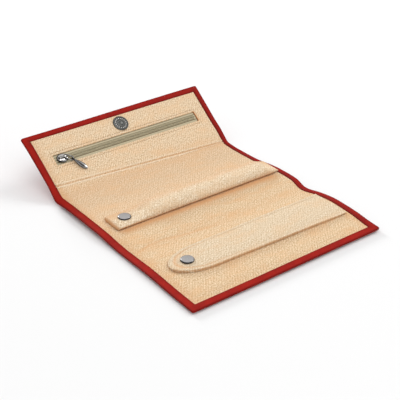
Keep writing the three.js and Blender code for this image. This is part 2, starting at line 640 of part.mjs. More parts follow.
const tabHalf = TAB_WIDTH / 2;
const neckHalf = TAB_NECK_WIDTH / 2;
const tipHalf = TAB_TIP_WIDTH / 2;
const neckEnd = 2 * TAB_EYE_RADIUS;
const shoulderX = (neckEnd + TAB_WIDEST_X) / 2;
const tabOutline = new THREE.Shape();
tabOutline.moveTo(TAB_EYE_BORE, -neckHalf);
tabOutline.lineTo(neckEnd, -neckHalf);
tabOutline.quadraticCurveTo(shoulderX, -tabHalf, TAB_WIDEST_X, -tabHalf);
tabOutline.quadraticCurveTo(TAB_LENGTH, -tabHalf, TAB_LENGTH, -tipHalf);
tabOutline.lineTo(TAB_LENGTH, tipHalf);
tabOutline.quadraticCurveTo(TAB_LENGTH, tabHalf, TAB_WIDEST_X, tabHalf);
tabOutline.quadraticCurveTo(shoulderX, tabHalf, neckEnd, neckHalf);
tabOutline.lineTo(TAB_EYE_BORE, neckHalf);
const eye = (radius, length) => new THREE.CylinderGeometry(radius, radius, length, CIRCLE_STEPS / 2);
const tabBlade = roundedSlab(tabOutline, -TAB_THICKNESS / 2, TAB_THICKNESS / 2, TAB_THICKNESS / 4);
const tabWithEye = join([tabBlade, eye(TAB_EYE_RADIUS, TAB_NECK_WIDTH)]);
const tabBody = cut(tabWithEye, [eye(TAB_EYE_BORE, TAB_WIDTH)]);

const tab = new THREE.Group();
tab.position.x = LINK_REACH;
tab.rotation.y = radians(PULL_DROOP_DEGREES);
link.add(tab);
addPiece(tab, 'pull_tab', tabBody, BRIGHT_NICKEL);

// Front fold

const FRONT_SPINE_ENDS = [-FRONT_SPINE_LENGTH + CREASE_GAP, -CREASE_GAP];
addPiece(frontSpine, 'front_spine_cover', turnedCover(...FRONT_SPINE_ENDS, SPINE_TOP), RED_LEATHER);
addPiece(frontSpine, 'front_spine_lining', layer(...FRONT_SPINE_ENDS, SPINE_LINING_Z, LINING), SAND_SUEDE);

// Front panel; its striker lies where the flap's magnet meets it when the wallet is closed

const CLOSED_FOLD = radians((180 + FLAP_PAST_PARALLEL_DEGREES) / 2);
const closedCreaseY = BACK_LENGTH / 2 + TOP_SPINE_LENGTH * Math.cos(CLOSED_FOLD);
const closedMagnetY = closedCreaseY
  + MAGNET_Y * Math.cos(2 * CLOSED_FOLD)
  - (MAGNET_FACE_Z - HINGE_Z) * Math.sin(2 * CLOSED_FOLD);
const STRIKER_Y = -(closedMagnetY + BACK_LENGTH / 2);
const FRONT_LAYER_END = -FRONT_LENGTH + LEATHER + LAYER_GAP;
const FRONT_LAYER = [FRONT_LAYER_END, -CREASE_GAP];
const STRAP_SNAP = [STRAP_SNAP_X, STRAP_CENTRE_Y];
const STRIKER_SEAT = STRIKER_RECESS + STRIKER_FLANGE;
const STRIKER_WASHER_Z = LEATHER + LAYER_GAP;

const bossHole = disc(0, STRIKER_Y, STRIKER_BOSS_RADIUS + LAYER_GAP, -LEATHER, PANEL_TOP - TURNED_EDGE);
const frontCover = cut(turnedCover(-FRONT_LENGTH, -CREASE_GAP, PANEL_TOP, { low: true }), [
  disc(0, STRIKER_Y, MAGNET_CASE_RADIUS + LAYER_GAP, -LEATHER, STRIKER_SEAT + STRIKER_RECESS),
  bossHole,
]);
const frontBoard = cut(layer(...FRONT_LAYER, BOARD_Z, BOARD), [
  postHole(...STRAP_SNAP),
  disc(0, STRIKER_Y, STRIKER_WASHER_RADIUS + LAYER_GAP, 0, PANEL_TOP),
]);
const striker = turned(0, STRIKER_Y, [
  [0, STRIKER_RECESS],
  [MAGNET_CASE_RADIUS, STRIKER_RECESS],
  [MAGNET_CASE_RADIUS, STRIKER_SEAT],
  [STRIKER_BOSS_RADIUS, STRIKER_SEAT],
  [STRIKER_BOSS_RADIUS, BOARD_Z + BOARD],
  [0, BOARD_Z + BOARD],
]);
const STRIKER_WASHER_TOP = STRIKER_WASHER_Z + STRIKER_WASHER;
const washerBlank = disc(0, STRIKER_Y, STRIKER_WASHER_RADIUS, STRIKER_WASHER_Z, STRIKER_WASHER_TOP);
const strikerWasher = cut(washerBlank, [bossHole]);
const frontLining = cut(layer(...FRONT_LAYER, LINING_Z, LINING), [studHole(...STRAP_SNAP)]);

addPiece(frontPanel, 'front_cover', frontCover, RED_LEATHER);
addPiece(frontPanel, 'front_board', frontBoard, GREY_BOARD);
addPiece(frontPanel, 'front_lining', frontLining, SAND_SUEDE);
addPiece(frontPanel, 'strap_stud', snapStud(...STRAP_SNAP), BRIGHT_NICKEL);
addPiece(frontPanel, 'strap_stud_post', snapPost(...STRAP_SNAP), BRIGHT_NICKEL);
addPiece(frontPanel, 'front_striker', striker, DARK_STEEL);
addPiece(frontPanel, 'front_striker_washer', strikerWasher, DARK_STEEL);

// Tongue strap: two layers with a round tip; its upper layer reaches past the sewn end below it

const STRAP_ROOT = BORDER_INNER_X - ROOT_PLAY;
const STRAP_ANCHOR_X = STRAP_ROOT - STRAP_ANCHOR_LENGTH;
const STRAP_UNDER_Z = LINING_TOP + SEAT_GAP;
const STRAP_UPPER_Z = STRAP_UNDER_Z + STRAP_LAYER + LAYER_GAP;
const STRAP_TOP = STRAP_UPPER_Z + STRAP_LAYER;

function tongue(right) {
  const shoulder = STRAP_TIP + STRAP_TIP_LENGTH;
  const share = (right - shoulder) / (STRAP_ROOT - shoulder);
  const rootHalf = mix(STRAP_SHOULDER_WIDTH, STRAP_ROOT_WIDTH, share) / 2;
  const tipHalfWidth = STRAP_SHOULDER_WIDTH / 2;
  const shape = new THREE.Shape();
  shape.moveTo(right, STRAP_CENTRE_Y - rootHalf);
  shape.lineTo(right, STRAP_CENTRE_Y + rootHalf);
  shape.absellipse(shoulder, STRAP_CENTRE_Y, STRAP_TIP_LENGTH, tipHalfWidth, Math.PI / 2, 1.5 * Math.PI);
  return shape;
}

const strapLayer = (right, bottom) => (
  roundedSlab(tongue(right), bottom, bottom + STRAP_LAYER, STRAP_EDGE_ROUND, CIRCLE_STEPS / 2)
);
const anchorOutline = strip(
  STRAP_ANCHOR_X + ROOT_PLAY,
  STRAP_ROOT,
  STRAP_CENTRE_Y,
  STRAP_ROOT_WIDTH - 2 * STRAP_LAYER,
);
const STRAP_ANCHOR_Z = LINING_TOP + LAYER_GAP;
const strapAnchor = slab(anchorOutline, STRAP_ANCHOR_Z, STRAP_ANCHOR_Z + ANCHOR_THICKNESS);
const underLayer = cut(strapLayer(STRAP_ANCHOR_X, STRAP_UNDER_Z), [socketHole(...STRAP_SNAP)]);
const upperLayer = cut(strapLayer(STRAP_ROOT, STRAP_UPPER_Z), [shankHole(...STRAP_SNAP, STRAP_TOP)]);

addPiece(frontPanel, 'strap_anchor', strapAnchor, SAND_SUEDE);
addPiece(frontPanel, 'strap_under_layer', underLayer, SAND_SUEDE);
addPiece(frontPanel, 'strap_upper_layer', upperLayer, SAND_SUEDE);
addPiece(frontPanel, 'strap_snap_cap', snapCap(...STRAP_SNAP, STRAP_TOP + LAYER_GAP), BRIGHT_NICKEL);
addPiece(frontPanel, 'strap_snap_socket', snapSocket(...STRAP_SNAP), BRIGHT_NICKEL);

export default wallet;
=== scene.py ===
import json
import math

import bmesh
import bpy
import numpy as np
from mathutils import Matrix, Vector


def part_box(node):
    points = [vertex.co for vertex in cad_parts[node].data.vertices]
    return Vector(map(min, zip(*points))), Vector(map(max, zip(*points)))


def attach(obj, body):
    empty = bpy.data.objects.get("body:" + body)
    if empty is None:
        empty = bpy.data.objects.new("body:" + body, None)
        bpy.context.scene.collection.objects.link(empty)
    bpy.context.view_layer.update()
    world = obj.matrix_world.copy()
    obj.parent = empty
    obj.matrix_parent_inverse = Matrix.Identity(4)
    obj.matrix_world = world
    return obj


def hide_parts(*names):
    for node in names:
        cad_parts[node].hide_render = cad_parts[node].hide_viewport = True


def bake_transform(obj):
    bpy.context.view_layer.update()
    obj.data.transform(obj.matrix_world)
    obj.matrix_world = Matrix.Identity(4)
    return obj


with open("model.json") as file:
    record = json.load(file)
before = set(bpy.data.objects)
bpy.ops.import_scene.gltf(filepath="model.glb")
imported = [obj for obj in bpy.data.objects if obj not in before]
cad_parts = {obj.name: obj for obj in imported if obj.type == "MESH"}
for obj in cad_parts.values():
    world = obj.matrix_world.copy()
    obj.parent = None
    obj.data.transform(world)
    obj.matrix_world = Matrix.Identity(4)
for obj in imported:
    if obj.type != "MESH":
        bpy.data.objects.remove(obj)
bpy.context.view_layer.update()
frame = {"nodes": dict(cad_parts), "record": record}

# The wallet lies open. Lengths are in millimetres; x runs along the folds, s along the unrolled
# hide from the front edge to the flap's edge, and z up from the hide's underside.
MM = 0.001
HALF_WIDTH = 100.0
FRONT_EDGE = -145.5
FLAP_ANGLE = math.radians(35.5)
FLAP_LENGTH = 57.6
FLAP_UP = np.array([0, -math.sin(FLAP_ANGLE), math.cos(FLAP_ANGLE)])

# Creases that the top fold, the front fold and the front panel turn on
TOP_CREASE = 49.0
FRONT_CREASE = -49.0
PANEL_CREASE = -62.5

# The flap bends up from the table here, well before the crease it turns on
FOLD_Y = 62.16
FOLD_RADIUS = 10.0
FOLD_TO_CREASE = 13.16
FOLD_TANGENT = FOLD_RADIUS * math.tan(FLAP_ANGLE / 2)
ARC_START = FOLD_Y - FOLD_TANGENT
ARC_LENGTH = FOLD_RADIUS * FLAP_ANGLE
FLAP_CREASE = ARC_START + ARC_LENGTH + FOLD_TO_CREASE - FOLD_TANGENT
FLAP_EDGE = FLAP_CREASE + FLAP_LENGTH

# Where one piece of hide and lining meets the next
SEAM_FRONT = (FRONT_CREASE + PANEL_CREASE) / 2
SEAM_BACK = -5.0
SEAM_TOP = ARC_START + ARC_LENGTH / 2

# Sheets
BORDER = 7.2
FLAP_BORDER = 6.3
EDGE_THICKNESS = 2.0
CORNER_RADIUS = 2.6
HIDE_DROP = 1.2
FLAP_HIDE = 1.0
LINING = 0.7
LINING_DROP = 0.45
LINING_RISE = 9.0
LINING_WAVE = 0.07
EDGE_CLEARANCE = 0.05
SIDE_CLEARANCE = 0.3

# Both end edges are cut a little askew: the front one is longer at the left, the flap's at the right
FRONT_SKEW = 1.6
FRONT_SKEW_REACH = 45.0
FLAP_SKEW = 1.4
FLAP_SKEW_REACH = 14.0

# Crease that the front fold leaves in the lining, as (x, s), and the stretches of x where it comes and goes
CREASE_LINE = [
    (-95, -55.0), (-84, -52.6), (-76, -50.2), (-67, -49.0),
    (-57, -49.6), (-44, -52.6), (-10, -57.4), (32, -62.4),
]
CREASE_COMES = (-94, -82)
CREASE_GOES = (-45, 34)
CREASE_DEPTH = 0.35
CREASE_HALF = 1.3

# Pocket seam across the flap, as (x, distance from the flap's crease) at its two ends: a groove with a
# ridge before it and a lower one behind it, each as (distance behind the seam, half width)
SEAM_LEFT = (-83.0, -0.8)
SEAM_RIGHT = (88.7, -10.9)
GROOVE = (0.4, 0.7)
NEAR_RIDGE = (-1.1, 0.9)
FAR_RIDGE = (2.0, 0.8)
GROOVE_DEPTH = 0.8
RIDGE_HEIGHT = 0.85
FAR_RIDGE_SHARE = 0.6

# Zip
ZIP_LEFT = -82.0
ZIP_RIGHT = 78.0
ZIP_Y = 25.0
ZIP_S = FLAP_CREASE + ZIP_Y
ZIP_HALF = 5.4
STITCH_MARGIN = 2.6

# Ring bar
BAR_LEFT = -84.0
BAR_RIGHT = 95.4
BAR_CENTRE = -5.7
BAR_HALF = 11.75


def mm(*lengths):
    """Lengths in metres for millimetres."""
    return tuple(length * MM for length in lengths)


def ease(value, low, high):
    """Smooth step from 0 at low to 1 at high."""
    share = np.clip((value - low) / (high - low), 0, 1)
    return share * share * (3 - 2 * share)


def fade(value, low, high):
    return 1 - ease(value, low, high)


def hump(value, middle, half):
    """Bell curve that is 1 at the middle."""
    return np.exp(-((value - middle) / half) ** 2)


def mix(a, b, share):
    return a + (b - a) * share


def boxy(value, power):
    """Power that keeps the sign; below 1 it makes a round section boxier."""
    return np.sign(value) * np.abs(value) ** power


def circle(steps):
    return 2 * np.pi * np.arange(steps) / steps


def join(x, y, z):
    """Points from their coordinates, any of which may be one number."""
    return np.stack(np.broadcast_arrays(x, y, z), -1)


def unit(vectors):
    return vectors / np.linalg.norm(vectors, axis=-1, keepdims=True)


def turned(a, b, angle):
    """Two coordinates turned by an angle."""
    c, s = math.cos(angle), math.sin(angle)
    return c * a - s * b, s * a + c * b


def rounded(from_edge, thickness):
    """How far a sheet's face drops where its edge is rounded off."""
    radius = thickness / 2
    return radius - np.sqrt(radius ** 2 - np.clip(radius - from_edge, 0, radius) ** 2)


def steps_between(low, high, pitch):
    count = max(1, round((high - low) / pitch))
    return list(np.linspace(low, high, count + 1))


def curve(stops, reach=15):
    """Smooth curve through the given (s, value) stops."""
    places = np.arange(-170.0, 160.0, 0.5)
    values = np.interp(places, *zip(*stops))
    kernel = np.hanning(2 * reach + 3)[1:-1]
    soft = np.convolve(np.pad(values, reach, mode="edge"), kernel / kernel.sum(), mode="valid")
    return lambda s: np.interp(s, places, soft)


# Along the two sides: height of the border's top, set back of its edge, and its width
left_height = curve([
    (-145, 2.1), (-120, 2.1), (-80, 2.8), (-60, 2.4), (-42, 2.1), (-30, 2.6), (-14, 4.1),
    (20, 4.4), (45, 4.3), (60, 4.2), (76, 4.6), (132, 4.6),
])
right_height = curve([
    (-145, 2.5), (-130, 3.3), (-119, 4.6), (-105, 5.0), (-90, 5.2), (-78, 4.1), (-67, 2.8),
    (-57, 2.0), (-49, 2.1), (-43, 3.3), (-38, 3.9), (-30, 3.9), (-16, 3.9), (-4, 3.6), (10, 3.0),
    (30, 2.5), (48, 2.5), (62, 4.2), (78, 4.8), (132, 4.6),
], 9)
left_set_back = curve([
    (-145, -0.8), (-115, -0.6), (-90, 0.0), (50, 0.0), (75, -0.2), (100, -0.9), (118, -1.5), (132, -2.5),
])
right_set_back = curve([
    (-140, -0.9), (-120, -1.1), (-108, -1.7), (-80, -2.2), (-66, -1.4), (-57, 1.6), (-49, 1.6),
    (-40, -0.4), (-28, -1.2), (-8, -0.8), (4, 0.6), (14, 2.6), (48, 3.2), (58, 4.0), (66, 4.0),
    (78, 3.2), (90, 3.4), (112, 2.7), (132, 2.2),
])
left_border = curve([(-145, 7.2), (45, 7.2), (75, 6.4), (132, 7.3)])
right_border = curve([
    (-145, 8.2), (-125, 7.2), (-20, 6.0), (20, 5.2), (60, 5.2), (80, 5.7), (132, 6.3),
])

# How far the border's outer edge hangs below its inner edge at the left end of the fold
left_droop = curve([(30, 0.0), (44, 0.4), (58, 1.8), (66, 1.8), (80, 0.0)], 8)

# Height of the lining away from the edges
lining_height = curve([
    (-145, 3.2), (-68, 3.2), (-60, 2.3), (-52, 2.3), (-42, 3.2), (46, 3.2), (55, 4.2), (62, 4.5),
    (70, 4.4), (132, 4.2),
], 10)


def place(x, s, z):
    """Points in metres for places on the unrolled hide."""
    x, s, z = np.broadcast_arrays(np.asarray(x, float), s, z)
    skew = FRONT_SKEW * fade(s, FRONT_EDGE, FRONT_EDGE + FRONT_SKEW_REACH)
    skew = skew + FLAP_SKEW * ease(s, FLAP_EDGE - FLAP_SKEW_REACH, FLAP_EDGE)
    s = s - skew * ease(-x, -HALF_WIDTH, HALF_WIDTH)
    arc = np.clip(s - ARC_START, 0, ARC_LENGTH)
    angle = arc / FOLD_RADIUS
    rest = s - ARC_START - arc
    y = ARC_START + FOLD_RADIUS * np.sin(angle) + rest * np.cos(angle) - z * np.sin(angle)
    up = FOLD_RADIUS * (1 - np.cos(angle)) + rest * np.sin(angle) + z * np.cos(angle)
    return join(x, y, up) * MM


def flap_place(x, d, z):
    """Points in metres for places on the flap, d being the distance from its crease."""
    return place(x, np.asarray(d, float) + FLAP_CREASE, z)


def left_edge(s):
    return -HALF_WIDTH + left_set_back(s)


def right_edge(s):
    return HALF_WIDTH - right_set_back(s)


def border_top(x, s):
    return mix(left_height(s), right_height(s), ease(x, -HALF_WIDTH, HALF_WIDTH))


def past_seam(x, s):
    """Distance behind the pocket's seam."""
    share = (x - SEAM_LEFT[0]) / (SEAM_RIGHT[0] - SEAM_LEFT[0])
    return s - FLAP_CREASE - mix(SEAM_LEFT[1], SEAM_RIGHT[1], share)


def seam_ridges(past):
    return hump(past, *NEAR_RIDGE) + FAR_RIDGE_SHARE * hump(past, *FAR_RIDGE)


def front_crease(x, s):
    """Strength of the front fold's crease."""
    from_line = s - np.interp(x, *zip(*CREASE_LINE))
    return hump(from_line, 0, CREASE_HALF) * ease(x, *CREASE_COMES) * fade(x, *CREASE_GOES)


def lining_top(x, s):
    """Upper face of the lining: low along the borders, with the front crease and the pocket's seam."""
    inset = np.minimum.reduce([
        x - left_edge(s) - left_border(s),
        right_edge(s) - x - right_border(s),
        s - FRONT_EDGE - BORDER,
        FLAP_EDGE - s - FLAP_BORDER,
    ])
    inside = ease(inset, 0, LINING_RISE)
    height = mix(border_top(x, s) - LINING_DROP, lining_height(s), inside)
    waves = np.sin(x / 19 + 0.7) * np.sin(s / 14 + 0.4) + np.sin(x / 9 - s / 12)
    height = height + LINING_WAVE * waves * inside - CREASE_DEPTH * front_crease(x, s)
    past = past_seam(x, s)
    return height - GROOVE_DEPTH * hump(past, *GROOVE) + RIDGE_HEIGHT * seam_ridges(past)


# Meshes

UV_PER_MM = 0.01
WELD = 0.001 * MM


def new_object(name, mesh, mat):
    obj = bpy.data.objects.new(name, mesh)
    bpy.context.scene.collection.objects.link(obj)
    mesh.materials.append(mat)
    return obj


def new_mesh(name, points, faces):
    mesh = bpy.data.meshes.new(name)
    mesh.from_pydata(points.tolist(), [], faces)
    return mesh


def points_of(mesh, kind="co"):
    points = np.zeros(len(mesh.vertices) * 3)
    mesh.vertices.foreach_get(kind, points)
    return points.reshape(-1, 3)


def smooth(mesh, degrees):
    """Smooth shading that keeps edges sharper than the angle."""
    mesh.polygons.foreach_set("use_smooth", [True] * len(mesh.polygons))
    mesh.set_sharp_from_angle(angle=math.radians(degrees))


def paint(mesh, values):
    """Gives each point of a mesh its painted light and shade, kept as the edge attribute."""
    shade = mesh.attributes.new("edge", "FLOAT", "POINT")
    shade.data.foreach_set("value", values)


def change(mesh, step):
    work = bmesh.new()
    work.from_mesh(mesh)
    step(work)
    work.to_mesh(mesh)
    work.free()


def weld(work):
    bmesh.ops.remove_doubles(work, verts=work.verts, dist=WELD)
    bmesh.ops.delete(work, geom=[v for v in work.verts if not v.link_faces], context="VERTS")


def face_outward(work):
    bmesh.ops.recalc_face_normals(work, faces=work.faces)


def cloth_piece(name, upper, lower, flat, mat, keep=None, edge=None):
    """Closed sheet between two grids of points; flat holds the cloth's own coordinates, edge its painted
    shade.
    """
    rows, cols = upper.shape[:2]
    keep = np.ones((rows - 1, cols - 1), bool) if keep is None else keep
    around = np.pad(keep, 1)
    count = rows * cols
    faces = []
    for r, c in np.argwhere(keep).tolist():
        ring = [r * cols + c, r * cols + c + 1, (r + 1) * cols + c + 1, (r + 1) * cols + c]
        faces.append(ring)
        faces.append([count + k for k in reversed(ring)])
        neighbours = [around[r, c + 1], around[r + 1, c + 2], around[r + 2, c + 1], around[r + 1, c]]
        for k in range(4):
            if not neighbours[k]:
                a, b = ring[k], ring[(k + 1) % 4]
                faces.append([a, count + a, count + b, b])
    mesh = new_mesh(name, np.concatenate([upper.reshape(-1, 3), lower.reshape(-1, 3)]), faces)
    uv = mesh.uv_layers.new(name="flat")
    cloth = np.tile(np.stack(flat, -1).reshape(-1, 2), (2, 1))
    corners = np.zeros(len(mesh.loops), int)
    mesh.loops.foreach_get("vertex_index", corners)
    uv.data.foreach_set("uv", (cloth[corners] * UV_PER_MM).ravel())
    if edge is not None:
        paint(mesh, np.concatenate([edge.ravel(), np.zeros(edge.size)]))
    change(mesh, weld)
    smooth(mesh, 40)
    return new_object(name, mesh, mat)


def loft(name, sections, ring=False):
    """Closed skin over sections with equally many points; a ring joins the last one to the first."""
    count = len(sections[0])
    points = np.concatenate(sections)
    faces = []
    for r in range(len(sections) if ring else len(sections) - 1):
        low = r * count
        high = (r + 1) % len(sections) * count
        for k in range(count):
            n = (k + 1) % count
            faces.append((low + k, low + n, high + n, high + k))
    if not ring:
        faces.append(tuple(reversed(range(count))))
        faces.append(tuple(range(len(points) - count, len(points))))
    mesh = new_mesh(name, points, faces)
    change(mesh, face_outward)
    return mesh


def beads(name, centres, alongs, up, size, mat):
    """Many small rounded bars; size is (half length, half width, half height)."""
    length, width, height = np.array(size) * MM
    alongs = unit(alongs)
    sides = unit(np.cross(up, alongs))
    axes = np.stack([np.cross(sides, alongs) * height, sides * width, alongs * length], 2)
    work = bmesh.new()
    for centre, turn in zip(centres, axes):
        matrix = Matrix.Translation(centre) @ Matrix(turn).to_4x4()
        bmesh.ops.create_uvsphere(work, u_segments=6, v_segments=4, radius=1, matrix=matrix)
    mesh = bpy.data.meshes.new(name)
    work.to_mesh(mesh)
    work.free()
    smooth(mesh, 80)
    return new_object(name, mesh, mat)


def stitch_row(line, pitch):
    """Evenly spaced places along a line of points, and the line's direction there."""
    line = np.asarray(line, float)
    total = np.concatenate([[0], np.cumsum(np.linalg.norm(np.diff(line, axis=0), axis=1))])
    places = np.arange(pitch / 2, total[-1], pitch)

    def at(shift):
        return np.stack([np.interp(places + shift, total, line[:, k]) for k in range(3)], 1)

    return at(0), at(0.1 * pitch) - at(-0.1 * pitch)


def dress(piece, body=None, nodes=()):
    """Hides the solids a piece stands for and attaches it to the body it rides on."""
    if nodes:
        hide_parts(*nodes)
    if body:
        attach(piece, body)
    return piece


# Materials

def linear(red, green, blue):
    """Shader colour for a display colour given in 0 to 255."""
    parts = [v / 255 for v in (red, green, blue)]
    return (*[v / 12.92 if v <= 0.04045 else ((v + 0.055) / 1.055) ** 2.4 for v in parts], 1.0)


class Nodes:
    """A node tree with short calls for the nodes used here; sockets take values or other nodes' outputs."""

    def __init__(self, tree):
        self.tree = tree

    def feed(self, socket, value):
        if isinstance(value, bpy.types.NodeSocket):
            self.tree.links.new(value, socket)
        else:
            socket.default_value = value

    def node(self, kind, inputs=(), **settings):
        node = self.tree.nodes.new("ShaderNode" + kind)
        for name, value in settings.items():
            setattr(node, name, value)
        for key, value in dict(inputs).items():
            self.feed(node.inputs[key], value)
        return node

    def out(self, output, kind, inputs=(), **settings):
        """One output of a new node."""
        return self.node(kind, inputs, **settings).outputs[output]

    def coordinates(self, kind="UV", scale=(1, 1, 1), turn=0.0):
        source = self.out(kind, "TexCoord")
        return self.out("Vector", "Mapping", {"Vector": source, "Scale": scale, "Rotation": (0, 0, turn)})

    def noise(self, vector, scale, detail=4.0, roughness=0.6):
        inputs = {"Vector": vector, "Scale": scale, "Detail": detail, "Roughness": roughness}
        return self.out("Fac", "TexNoise", inputs)

    def wave(self, vector, scale, distortion):
        inputs = {"Vector": vector, "Scale": scale, "Distortion": distortion, "Detail": 2.0}
        return self.out("Fac", "TexWave", inputs)

    # The painted light and shade kept on a mesh's points as its edge attribute
    def painted_light(self):
        return self.out("Fac", "Attribute", attribute_name="edge")

    def ramp(self, value, *stops):
        node = self.node("ValToRGB", {"Fac": value})
        elements = node.color_ramp.elements
        while len(elements) < len(stops):
            elements.new(0.5)
        for element, (position, colour) in zip(elements, stops):
            element.position = position
            element.color = colour
        return node.outputs["Color"]

    def level(self, value, onto, over=(0.3, 0.7)):
        """Spreads the range over of a value onto another range."""
        ends = dict(zip(("From Min", "From Max", "To Min", "To Max"), (*over, *onto)))
        return self.out("Result", "MapRange", {"Value": value, **ends})

    def blend(self, share, first, second):
        return self.out(2, "Mix", {0: share, 6: first, 7: second}, data_type="RGBA")

    def sum(self, first, second, weight=1.0):
        return self.out("Value", "Math", {0: second, 1: weight, 2: first}, operation="MULTIPLY_ADD")

    def bump(self, height, distance, strength):
        """Fine relief; distance is in mm."""
        return self.out("Normal", "Bump", {"Height": height, "Distance": distance * MM, "Strength": strength})


class Shader(Nodes):
    """A material's nodes."""

    def __init__(self, name):
        self.material = bpy.data.materials.new(name)
        self.material.use_nodes = True
        super().__init__(self.material.node_tree)

    def set(self, **values):
        surface = self.tree.nodes["Principled BSDF"]
        for name, value in values.items():
            self.feed(surface.inputs[name.replace("_", " ")], value)
        return self.material


# Tones of the painted shade in the cloth's crevices, folds and hollows, from light to deep
PAINTED_SHADE_SAND = linear(208, 155, 106)
PAINTED_SHADE_BROWN = linear(148, 88, 44)
PAINTED_DEEP_SHADE = linear(66, 48, 34)


def suede(name, *tones, coordinates="UV", scale=1.0):
    """Napped cloth: speckle over a diagonal weave, with painted shade from the edge attribute, warm to brown
    to dark where shade falls, and a painted highlight where that attribute is below zero.
    """
    light, dark, pale, blotch = [linear(*tone) for tone in tones]
    sh = Shader(name)

    def stretched(across, along, turn=0.0):
        return sh.coordinates(coordinates, (scale * across, scale * along, scale), turn)

    speckle = sh.noise(stretched(1, 1), 74, 4.0, 0.75)
    fibre = sh.noise(stretched(0.55, 1.6, 0.35), 150, 2.0, 0.7)
    weave = sh.wave(stretched(1, 1, math.radians(38)), 15, 2.6)
    patch = sh.noise(stretched(0.45, 1), 7.5, 4.0, 0.62)
    tone = sh.ramp(speckle, (0.36, dark), (0.52, light), (0.66, pale))
    tone = sh.blend(sh.level(patch, (0.0, 0.75), (0.46, 0.7)), tone, blotch)
    tone = sh.blend(sh.level(fibre, (0.0, 0.55), (0.52, 0.72)), tone, pale)
    tone = sh.blend(sh.level(weave, (0.0, 0.3), (0.5, 1.0)), tone, dark)
    edge = sh.painted_light()
    # Painted highlight where the edge attribute is below zero, painted shade as it rises above zero
    tone = sh.blend(sh.level(edge, (0.6, 0.0), (-0.4, 0.0)), tone, pale)
    for shade_tone, over in ((PAINTED_SHADE_SAND, (0.0, 0.6)), (PAINTED_SHADE_BROWN, (0.6, 1.0)), (PAINTED_DEEP_SHADE, (1.0, 1.5))):
        tone = sh.blend(sh.level(edge, (0.0, 0.9), over), tone, shade_tone)
    height = sh.sum(sh.sum(speckle, weave, 0.35), fibre, 0.5)
    sh.set(Sheen_Weight=0.12, Sheen_Roughness=0.6, Sheen_Tint=linear(255, 240, 220), Specular_IOR_Level=0.1)
    return sh.set(Base_Color=tone, Roughness=0.95, Normal=sh.bump(height, 0.35, 0.7))


def red_leather():
    """Fine-grained leather with faint wear and painted shade along its edges."""
    dark, red, light = linear(138, 23, 16), linear(154, 28, 19), linear(163, 33, 22)
    sh = Shader("red_leather")
    flat = sh.coordinates()
    cells = {"Vector": flat, "Scale": 85}
    grain = sh.out("Distance", "TexVoronoi", cells, feature="DISTANCE_TO_EDGE")
    pores = sh.noise(flat, 210, 3.0)
    patch = sh.noise(flat, 9)
    wear = sh.noise(flat, 34, 5.0, 0.7)
    tone = sh.ramp(patch, (0.3, dark), (0.55, red), (0.8, light))
    tone = sh.blend(sh.level(wear, (0.0, 0.35), (0.5, 0.8)), tone, linear(128, 20, 15))
    # Painted shade along the border's edges and over the right border
    tone = sh.blend(sh.level(sh.painted_light(), (0.0, 0.75), (0.1, 1.0)), tone, linear(92, 15, 12))
    height = sh.sum(sh.level(grain, (0.0, 1.0), (0.0, 0.25)), pores, 0.45)
    sh.set(Roughness=sh.level(patch, (0.5, 0.66)), Specular_IOR_Level=0.06)
    return sh.set(Base_Color=tone, Normal=sh.bump(height, 0.12, 0.6))


def zip_cloth():
    """Ribbed khaki tape, darkened where its painted shade lies."""
    dark, khaki, light = linear(182, 171, 141), linear(204, 193, 163), linear(212, 201, 172)
    sh = Shader("zip_tape")
    ribs = sh.wave(sh.coordinates(turn=math.pi / 2), 30, 0.4)
    weave = sh.wave(sh.coordinates(turn=math.radians(45)), 60, 1.0)
    speckle = sh.noise(sh.coordinates(), 160, 2.0)
    tone = sh.ramp(ribs, (0.0, dark), (0.45, khaki), (1.0, light))
    tone = sh.blend(sh.level(speckle, (0.0, 0.3)), tone, linear(174, 163, 133))
    tone = sh.blend(sh.painted_light(), tone, linear(98, 85, 62))
    height = sh.sum(sh.sum(ribs, weave, 0.4), speckle, 0.3)
    return sh.set(Base_Color=tone, Roughness=0.85, Specular_IOR_Level=0.2, Normal=sh.bump(height, 0.25, 0.7))


def nylon():
    sh = Shader("zip_coil")
    speckle = sh.noise(sh.coordinates("Object"), 900, 2.0)
    tone = sh.ramp(speckle, (0.3, linear(164, 153, 124)), (0.7, linear(192, 181, 149)))
    gloss = sh.level(speckle, (0.4, 0.6))
    return sh.set(Base_Color=tone, Roughness=gloss, Normal=sh.bump(speckle, 0.04, 0.5))


def cotton():
    """Plain weave."""
    sh = Shader("pocket_cotton")
    across = sh.wave(sh.coordinates(), 45, 0.6)
    along = sh.wave(sh.coordinates(turn=math.pi / 2), 45, 0.6)
    weave = sh.sum(across, along)
    share = sh.level(weave, (0.0, 1.0), (0.0, 2.0))
    tone = sh.ramp(share, (0.2, linear(186, 168, 134)), (0.8, linear(216, 200, 168)))
    return sh.set(Base_Color=tone, Roughness=0.9, Normal=sh.bump(weave, 0.2, 0.6))


def thread(name, light, dark):
    sh = Shader(name)
    ply = sh.wave(sh.coordinates("Object", turn=math.radians(40)), 900, 1.0)
    tone = sh.blend(sh.level(ply, (0.0, 0.7), (0.2, 0.8)), linear(*light), linear(*dark))
    return sh.set(Base_Color=tone, Roughness=0.7, Normal=sh.bump(ply, 0.1, 0.6))


def metal(name, plain, worn, gloss, lit_tone=None):
    """Plated metal with faint clouding and hairline scratches; where a lighter tone is given, the edge
    attribute paints light towards it.
    """
    sh = Shader(name)
    cloud = sh.noise(sh.coordinates("Object"), 160)
    scratch = sh.noise(sh.coordinates("Object", (1, 14, 3), 0.6), 380, 3.0, 0.8)
    tone = sh.blend(sh.level(cloud, (0.0, 0.6), (0.4, 0.75)), linear(*plain), linear(*worn))
    if lit_tone:
        tone = sh.blend(sh.painted_light(), tone, linear(*lit_tone))
    sh.set(Metallic=1.0, Roughness=sh.level(cloud, gloss))
    return sh.set(Base_Color=tone, Normal=sh.bump(scratch, 0.02, 0.35))
